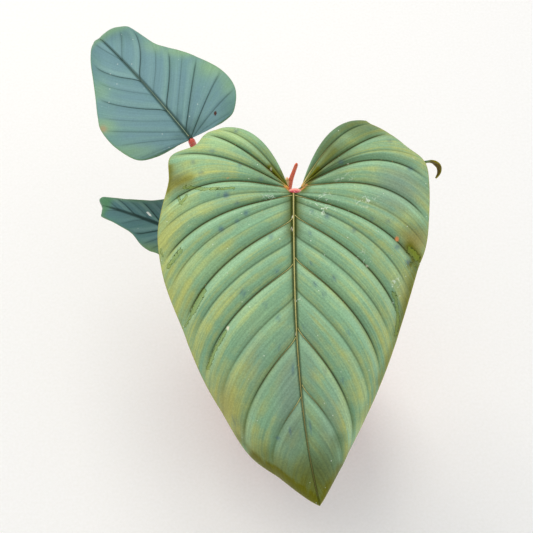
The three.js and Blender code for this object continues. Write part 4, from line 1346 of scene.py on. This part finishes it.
def scatter_tree(name, cube):
    """Broken lumps strewn over a surface, each turned, sized and roughened at random."""
    tree, given = new_tree(name, (
        ("Surface", "Geometry"), ("Density", "Float"), ("Size", "Float"), ("Proportions", "Vector"),
        ("Roughness", "Float"), ("Seed", "Int"), ("Finish", "Material")))
    strewn = add(tree, "GeometryNodeDistributePointsOnFaces",
                 {"Mesh": given["Surface"], "Density": given["Density"], "Seed": given["Seed"]})
    if cube:
        lump = add(tree, "GeometryNodeMeshCube", {"Size": (1, 1, 1), "Vertices X": 4, "Vertices Y": 3,
                                                  "Vertices Z": 2})
    else:
        lump = add(tree, "GeometryNodeMeshIcoSphere", {"Radius": 0.5, "Subdivisions": 2})
    spin = add(tree, "FunctionNodeRandomValue", {0: (-0.5, -0.5, 0), 1: (0.5, 0.5, math.tau),
                                                 "Seed": given["Seed"]}, data_type="FLOAT_VECTOR")
    swell = add(tree, "FunctionNodeRandomValue", {2: 0.45, 3: 1.3, "Seed": given["Seed"]}).outputs[1]
    lump_size = add(tree, "ShaderNodeMath", {0: swell, 1: given["Size"]}, operation="MULTIPLY")
    scale = add(tree, "ShaderNodeVectorMath", {0: given["Proportions"], "Scale": lump_size},
                operation="SCALE")
    turned_way = add(tree, "FunctionNodeRotateRotation", {0: strewn.outputs["Rotation"], 1: spin},
                     rotation_space="LOCAL")
    laid = add(tree, "GeometryNodeInstanceOnPoints", {"Points": strewn.outputs["Points"], "Instance": lump,
                                                      "Rotation": turned_way, "Scale": scale})
    real = add(tree, "GeometryNodeRealizeInstances", {0: laid})
    place = add(tree, "GeometryNodeInputPosition")
    rough = add(tree, "ShaderNodeTexNoise", {"Vector": place, "Scale": 1 / (BUMP_SIZE * MM), "Detail": 1.0})
    centred = add(tree, "ShaderNodeVectorMath", {0: rough.outputs["Color"], 1: (0.5, 0.5, 0.5)},
                  operation="SUBTRACT")
    depth = add(tree, "ShaderNodeMath", {0: given["Roughness"], 1: given["Size"]}, operation="MULTIPLY")
    offset = add(tree, "ShaderNodeVectorMath", {0: centred, "Scale": depth}, operation="SCALE")
    broken = add(tree, "GeometryNodeSetPosition", {"Geometry": real, "Offset": offset})
    finished = add(tree, "GeometryNodeSetMaterial", {"Geometry": broken, "Material": given["Finish"]})
    add(tree, "NodeGroupOutput", {0: finished})
    return tree


def swept(tree, path, radius, sides, finish, bumps=0.0):
    """Ends a tree: a round skin swept along a path, roughened, smooth, with its finish."""
    line = add(tree, "GeometryNodeMeshToCurve", {"Mesh": path})
    ring = add(tree, "GeometryNodeCurvePrimitiveCircle", {"Resolution": sides, "Radius": 1.0})
    skin = add(tree, "GeometryNodeCurveToMesh", {"Curve": line, "Profile Curve": ring, "Scale": radius,
                                                 "Fill Caps": True})
    place = add(tree, "GeometryNodeInputPosition")
    noise = add(tree, "ShaderNodeTexNoise", {"Vector": place, "Scale": 1 / (SKIN_BUMP_SIZE * MM),
                                             "Detail": 2.0})
    outwards = add(tree, "GeometryNodeInputNormal")
    centred = add(tree, "ShaderNodeMath", {0: noise, 1: 0.5}, operation="SUBTRACT")
    height = add(tree, "ShaderNodeMath", {0: centred, 1: bumps}, operation="MULTIPLY")
    offset = add(tree, "ShaderNodeVectorMath", {0: outwards, "Scale": height}, operation="SCALE")
    bumpy = add(tree, "GeometryNodeSetPosition", {"Geometry": skin, "Offset": offset})
    real = add(tree, "GeometryNodeRealizeInstances", {0: bumpy})
    smooth = add(tree, "GeometryNodeSetShadeSmooth", {"Geometry": real})
    finished = add(tree, "GeometryNodeSetMaterial", {"Geometry": smooth, "Material": finish})
    add(tree, "NodeGroupOutput", {0: finished})


def vein_tree():
    """Veins along paths, each as thick as its points say in millimetres."""
    tree, given = new_tree("raised veins", (
        ("Paths", "Geometry"), ("Thickness", "Float"), ("Sides", "Int"), ("Finish", "Material")))
    half = add(tree, "GeometryNodeInputNamedAttribute", {"Name": "half_width"})
    thick = add(tree, "ShaderNodeMath", {0: half, 1: given["Thickness"]}, operation="MULTIPLY")
    radius = add(tree, "ShaderNodeMath", {0: thick, 1: MM}, operation="MULTIPLY")
    swept(tree, given["Paths"], radius, given["Sides"], given["Finish"])
    return tree


def stalk_tree():
    """A stalk along a path: it flares at its foot, swells at its head and ends in a dome."""
    tree, given = new_tree("leaf stalk", (
        ("Path", "Geometry"), ("Radius", "Float"), ("Foot Radius", "Float"), ("Foot Share", "Float"),
        ("Head Radius", "Float"), ("Head Share", "Float"), ("Dome Share", "Float"), ("Relief", "Float"),
        ("Sides", "Int"), ("Finish", "Material")))
    share = add(tree, "GeometryNodeInputNamedAttribute", {"Name": "share"})
    low = add(tree, "ShaderNodeMapRange", {0: share, 2: given["Foot Share"], 3: 1.0, 4: 0.0})
    flare = add(tree, "ShaderNodeMath", {0: low, 1: 1.5}, operation="POWER")
    flared = add(tree, "ShaderNodeMix", {0: flare, 2: given["Radius"], 3: given["Foot Radius"]})
    head_start = add(tree, "ShaderNodeMath", {0: 1.0, 1: given["Head Share"]}, operation="SUBTRACT")
    head_full = add(tree, "ShaderNodeMath", {0: given["Head Share"], 1: -0.25, 2: 1.0},
                    operation="MULTIPLY_ADD")
    swell = add(tree, "ShaderNodeMapRange", {0: share, 1: head_start, 2: head_full},
                interpolation_type="SMOOTHSTEP")
    headed = add(tree, "ShaderNodeMix", {0: swell, 2: flared, 3: given["Head Radius"]})
    dome_start = add(tree, "ShaderNodeMath", {0: 1.0, 1: given["Dome Share"]}, operation="SUBTRACT")
    over = add(tree, "ShaderNodeMapRange", {0: share, 1: dome_start, 2: 1.0})
    squared = add(tree, "ShaderNodeMath", {0: over, 1: 2.0}, operation="POWER")
    left = add(tree, "ShaderNodeMath", {0: 1.02, 1: squared}, operation="SUBTRACT")
    dome = add(tree, "ShaderNodeMath", {0: left}, operation="SQRT", use_clamp=True)
    radius = add(tree, "ShaderNodeMath", {0: headed, 1: dome}, operation="MULTIPLY")
    swept(tree, given["Path"], radius, given["Sides"], given["Finish"], given["Relief"])
    return tree


def grown(name, tree, source, settings):
    """What a geometry tree makes from a mesh, as a plain mesh of its own."""
    blank = new_object(name + "_blank", source)
    modifier = blank.modifiers.new("grown", "NODES")
    modifier.node_group = tree
    sockets = {item.name: item.identifier for item in tree.interface.items_tree if item.in_out == "INPUT"}
    for label, value in settings.items():
        modifier[sockets[label]] = value
    mesh = final_mesh(blank)
    bpy.data.objects.remove(blank)
    mesh.name = name
    return mesh


def path_mesh(name, lines, fields):
    """Open lines through points in millimetres, with a value of each field at every point."""
    points, edges = [], []
    for line in lines:
        edges.extend((len(points) + k, len(points) + k + 1) for k in range(len(line) - 1))
        points.extend(line)
    mesh = bpy.data.meshes.new(name)
    mesh.from_pydata((np.array(points) * MM).tolist(), edges, [])
    for label, values in fields.items():
        add_field(mesh, label, np.concatenate(values))
    return mesh


def add_soil():
    """Potting mix, with crumbs, chips of bark and perlite strewn over its open top."""
    points, faces = soil_body()
    mesh = new_mesh("potting_mix", points, faces)
    add_piece("potting_mix", mesh, [soil_finish("peaty potting mix", "#2c2019", "#4b3828", 0.95)],
              ["soil"])
    from_middle = np.hypot(points[:, 0], points[:, 1])
    from_stem = np.hypot(points[:, 0], points[:, 1] - STEM_OFFSET)
    open_top = (points[:, 2] > SOIL_TOP - 4) & (from_middle < OPEN_RADIUS) & (from_stem > STEM_CLEARANCE)
    top_faces = [face for face in faces if all(open_top[v] for v in face)]
    surface = new_mesh("open_soil", points, top_faces)
    crumbs, chips = scatter_tree("crumbs", False), scatter_tree("chips", True)
    add_piece("soil_crumbs", grown("soil_crumbs", crumbs, surface, {
        "Density": 90000.0, "Size": 0.0026, "Proportions": (1.0, 1.0, 0.8), "Roughness": 0.5, "Seed": 3,
        "Finish": soil_finish("soil crumbs", "#3a2a1e", "#5c4632", 0.95)}), [])
    add_piece("bark_chips", grown("bark_chips", chips, surface, {
        "Density": 7000.0, "Size": 0.0085, "Proportions": (1.0, 0.55, 0.22), "Roughness": 0.4, "Seed": 8,
        "Finish": soil_finish("pine bark", "#5a3a24", "#8a6440", 0.85)}), [])
    add_piece("perlite", grown("perlite", crumbs, surface, {
        "Density": 6500.0, "Size": 0.003, "Proportions": (1.0, 1.0, 1.0), "Roughness": 0.55, "Seed": 12,
        "Finish": soil_finish("perlite", "#e6e2d8", "#f4f2ec", 0.8)}), [])


def add_stem():
    """Short stem that swells at each leaf scar and has a groove below it, and its aerial roots."""
    nodes = np.array(STEM_NODES, float)

    def stem_radius(share, angles, centre):
        height = (centre[2] - STEM_FOOT) / (STEM_TOP - STEM_FOOT)
        plain = STEM_RADIUS_LOW + (STEM_RADIUS_TOP - STEM_RADIUS_LOW) * height
        turn = 2.4 * np.arange(len(nodes))
        tilted = centre[2] - nodes[:, None] - 1.2 * np.cos(angles[None] - turn[:, None])
        swell = STEM_NODE_SWELL * hill(tilted, STEM_NODE_WIDTH).sum(0)
        groove = SCAR_GROOVE_DEPTH * hill(tilted + SCAR_GROOVE_BELOW, SCAR_GROOVE_WIDTH).sum(0)
        crown = np.clip((STEM_TOP - centre[2]) / 6, 0, 1) ** 0.5
        ribbing = 0.18 * np.sin(7 * angles + 0.12 * centre[2]) + 0.12 * np.sin(13 * angles - 0.2 * centre[2])
        return (plain + swell - groove + ribbing) * max(crown, 0.05)

    def root_radius(share, angles, centre):
        knobs = 0.2 * np.sin(5 * angles + 40 * share) + 0.15 * np.sin(90 * share)
        return 1.9 - 0.7 * share + knobs * (1 - share)

    shapes = [tube(STEM_PATH, stem_radius, STEM_SIDES, STEM_STEPS)]
    shapes += [tube(path, root_radius, ROOT_SIDES, ROOT_STEPS) for path in AERIAL_ROOTS]
    points, faces = joined(*shapes)
    mesh = new_mesh("ringed_stem", points, faces)
    ring = hill(points[:, 2][:, None] - nodes[None], SCAR_HALF_WIDTH).max(1)
    near_stem = np.hypot(points[:, 0], points[:, 1] - 8) < 12
    add_field(mesh, "leaf_scar", 0.7 * ring * near_stem)
    add_piece("ringed_stem", mesh, [stem_finish()], ["stem"])


# Each stalk's lower points, how far its head leans as it nears the blade (per millimetre below it), where
# its middle ends (across the blade, behind the veins, below the blade) and how thick its head is
STALKS = {
    "front": (((2, 12, 192), (9, 21, 206), (11, 26, 250), (7, 30, 310)), (0, 0, 0), (-1.2, 0.8, 2.6), 3.7),
    "back": (((-3, 13, 180), (-14, 26, 187), (-40, 50, 220), (-68, 80, 270)), (0.36, -0.27, 0),
             (0, -0.6, 0.6), 3.2),
    "side": (((-3, 9, 165), (-15, 10, 172), (-42, 16, 196), (-71, 25, 228)), (0, 0, 0), (0, -2.6, 0.6), 3.6),
    "right": (((1, 9, 173), (13, 14, 180), (27, 26, 215), (36, 38, 262)), (0, 0, 0), (0, -2.6, 0.6), 3.4),
}


def stalk_path(leaf, lower_points, lean, end):
    """A stalk comes up under its blade, and its head ends in the notch, a little behind the veins."""
    across, behind, last_below = end
    below = np.array([32, 14, 5 + last_below, last_below])
    back = np.array([0, 0, behind / 2, behind])
    head = place_point(leaf, np.full(4, across / leaf["scale"]), back / leaf["scale"],
                       -below / leaf["scale"])
    return list(lower_points) + (head + below[:, None] * np.array(lean)).tolist()


def add_stalks():
    """The four leaf stalks, from the stem up to their blades."""
    finish, tree = stalk_finish(), stalk_tree()
    shares = np.arange(STALK_STEPS + 1) / STALK_STEPS
    for name, (lower_points, lean, end, head_radius) in STALKS.items():
        centres, _ = smooth_path(stalk_path(LEAVES[name], lower_points, lean, end), shares)
        path = path_mesh(f"stalk_path_{name}", [centres.tolist()], {"share": [shares]})
        mesh = grown(f"stalk_{name}", tree, path, {
            "Radius": min(STALK_RADIUS, head_radius) * MM, "Foot Radius": STALK_FOOT_RADIUS * MM,
            "Foot Share": 0.14, "Head Radius": head_radius * MM, "Head Share": 0.09, "Dome Share": 0.02,
            "Relief": 0.5 * MM, "Sides": STALK_SIDES, "Finish": finish})
        add_piece(f"stalk_{name}", mesh, [], [f"petiole_{name}"])


def add_joint():
    """The swelling across the notch, where the front leaf's stalk runs into its ribs."""
    middle = place_point(LEAVES["front"], *(np.array([value]) for value in JOINT_MIDDLE))[0]
    ring, turn = np.meshgrid(np.linspace(np.pi, 0, JOINT_RINGS + 2)[1:-1],
                             2 * np.pi * np.arange(JOINT_SIDES) / JOINT_SIDES, indexing="ij")
    ball = np.stack([np.cos(ring), np.sin(ring) * np.cos(turn), np.sin(ring) * np.sin(turn)], -1)
    points, faces = skin(ball, (-1, 0, 0), (1, 0, 0))
    points[:, 2] += JOINT_RISE * points[:, 0] ** 2
    points = middle + points * np.array(JOINT_SIZE)
    finish = joint_finish((middle[1] - 1.3) * MM, (middle[1] - 0.1) * MM)
    add_piece("joint_front", new_mesh("joint_front", points, faces), [finish])


def add_new_leaf():
    """Rolled leaf in its sheath, a spike whose overlapping edge winds once round it, and the dry tip of
    the scale that it came out of."""
    def spike_radius(share, angles, centre):
        blunt = np.sqrt(np.clip(1 - np.clip((share - 0.975) / 0.025, 0, 1) ** 2, 0.01, 1))
        plain = (SPIKE_TIP_RADIUS + (SPIKE_RADIUS - SPIKE_TIP_RADIUS) * (1 - share)) * blunt
        seam = np.mod(angles - 1.2 * share - 2.2, 2 * np.pi) / (2 * np.pi)
        overlap = 0.16 * plain * (1 - seam) ** 3
        return plain * (1 - 0.04 * np.cos(2 * angles)) + overlap - 0.05 * plain

    def scale_radius(share, angles, centre):
        blunt = np.sqrt(np.clip(1 - np.clip((share - 0.9) / 0.1, 0, 1) ** 2, 0.01, 1))
        flattened = 1 - 0.3 * np.cos(angles) ** 2
        return SCALE_RADIUS * blunt * flattened * (1 + 0.12 * np.sin(3 * angles + 9 * share))

    fresh = sheath_finish("coral sheath", "#ff7a55", "#ff4a30", "#a9995a")
    dry = sheath_finish("dry scale", "#ffd9a4", "#f0a862", "#a9804a")
    spike = new_mesh("rolled_leaf", *tube(SPIKE_PATH, spike_radius, SPIKE_SIDES, SPIKE_STEPS))
    add_piece("rolled_leaf", spike, [fresh], ["new_leaf"])
    scale = new_mesh("dry_scale", *tube(SCALE_PATH, scale_radius, SCALE_SIDES, SCALE_STEPS))
    add_piece("dry_scale", scale, [dry])


def add_blades():
    """The four leaf blades and the raised veins on each."""
    old_under = underside_finish("old leaf underside", "#8a9a5c", "#b3a667", "#8a9a5c")
    young_under = underside_finish("young leaf underside", "#7d9468", "#a08a5c", "#7d9468")
    dried_under = underside_finish("dried tip underside", "#7d9468", "#a08a5c", "#65540e")
    grey, bright, pale, dark = "#6e9399", "#79a884", "#a3c07a", "#24423a"
    smooth = young_blade_finish("smooth young leaf", grey, bright, pale, dark, "#749a7c")
    # The side leaf's copy is darker: partly its own deeper tint, partly painted shade, as it lies low
    # beneath the front leaf.
    shaded = young_blade_finish("young leaf darkened partly as painted shade", "#5b8284", "#619470", "#a6b84a", "#142c26", "#5a8c66")
    dried = young_blade_finish("young leaf with a dried tip", grey, bright, pale, dark, "#8c8014")
    finishes = {"front": (old_blade_finish(), old_under), "back": (smooth, young_under),
                "side": (shaded, young_under), "right": (dried, dried_under)}
    veins = vein_tree()
    old_veins = vein_finish("golden brown vein", "#5a4f20", "#c2ba78")
    young_veins = vein_finish("dark vein", "#1f3a32", "#93a68c")
    for name, leaf in LEAVES.items():
        old = name == "front"
        add_piece(f"leaf_{name}", blade_mesh(f"leaf_{name}", leaf), finishes[name], [f"blade_{name}"])
        lines, widths, golden, red = zip(*vein_lines(leaf))
        paths = path_mesh(f"vein_paths_{name}", lines, {"half_width": widths, "golden": golden, "red": red})
        mesh = grown(f"veins_{name}", veins, paths, {
            "Thickness": 1.0 if old else 0.6 * leaf["scale"], "Sides": 8,
            "Finish": old_veins if old else young_veins})
        add_piece(f"veins_{name}", mesh, [])


add_camera()
add_studio()
add_pot()
add_soil()
add_stem()
add_stalks()
add_joint()
add_new_leaf()
add_blades()
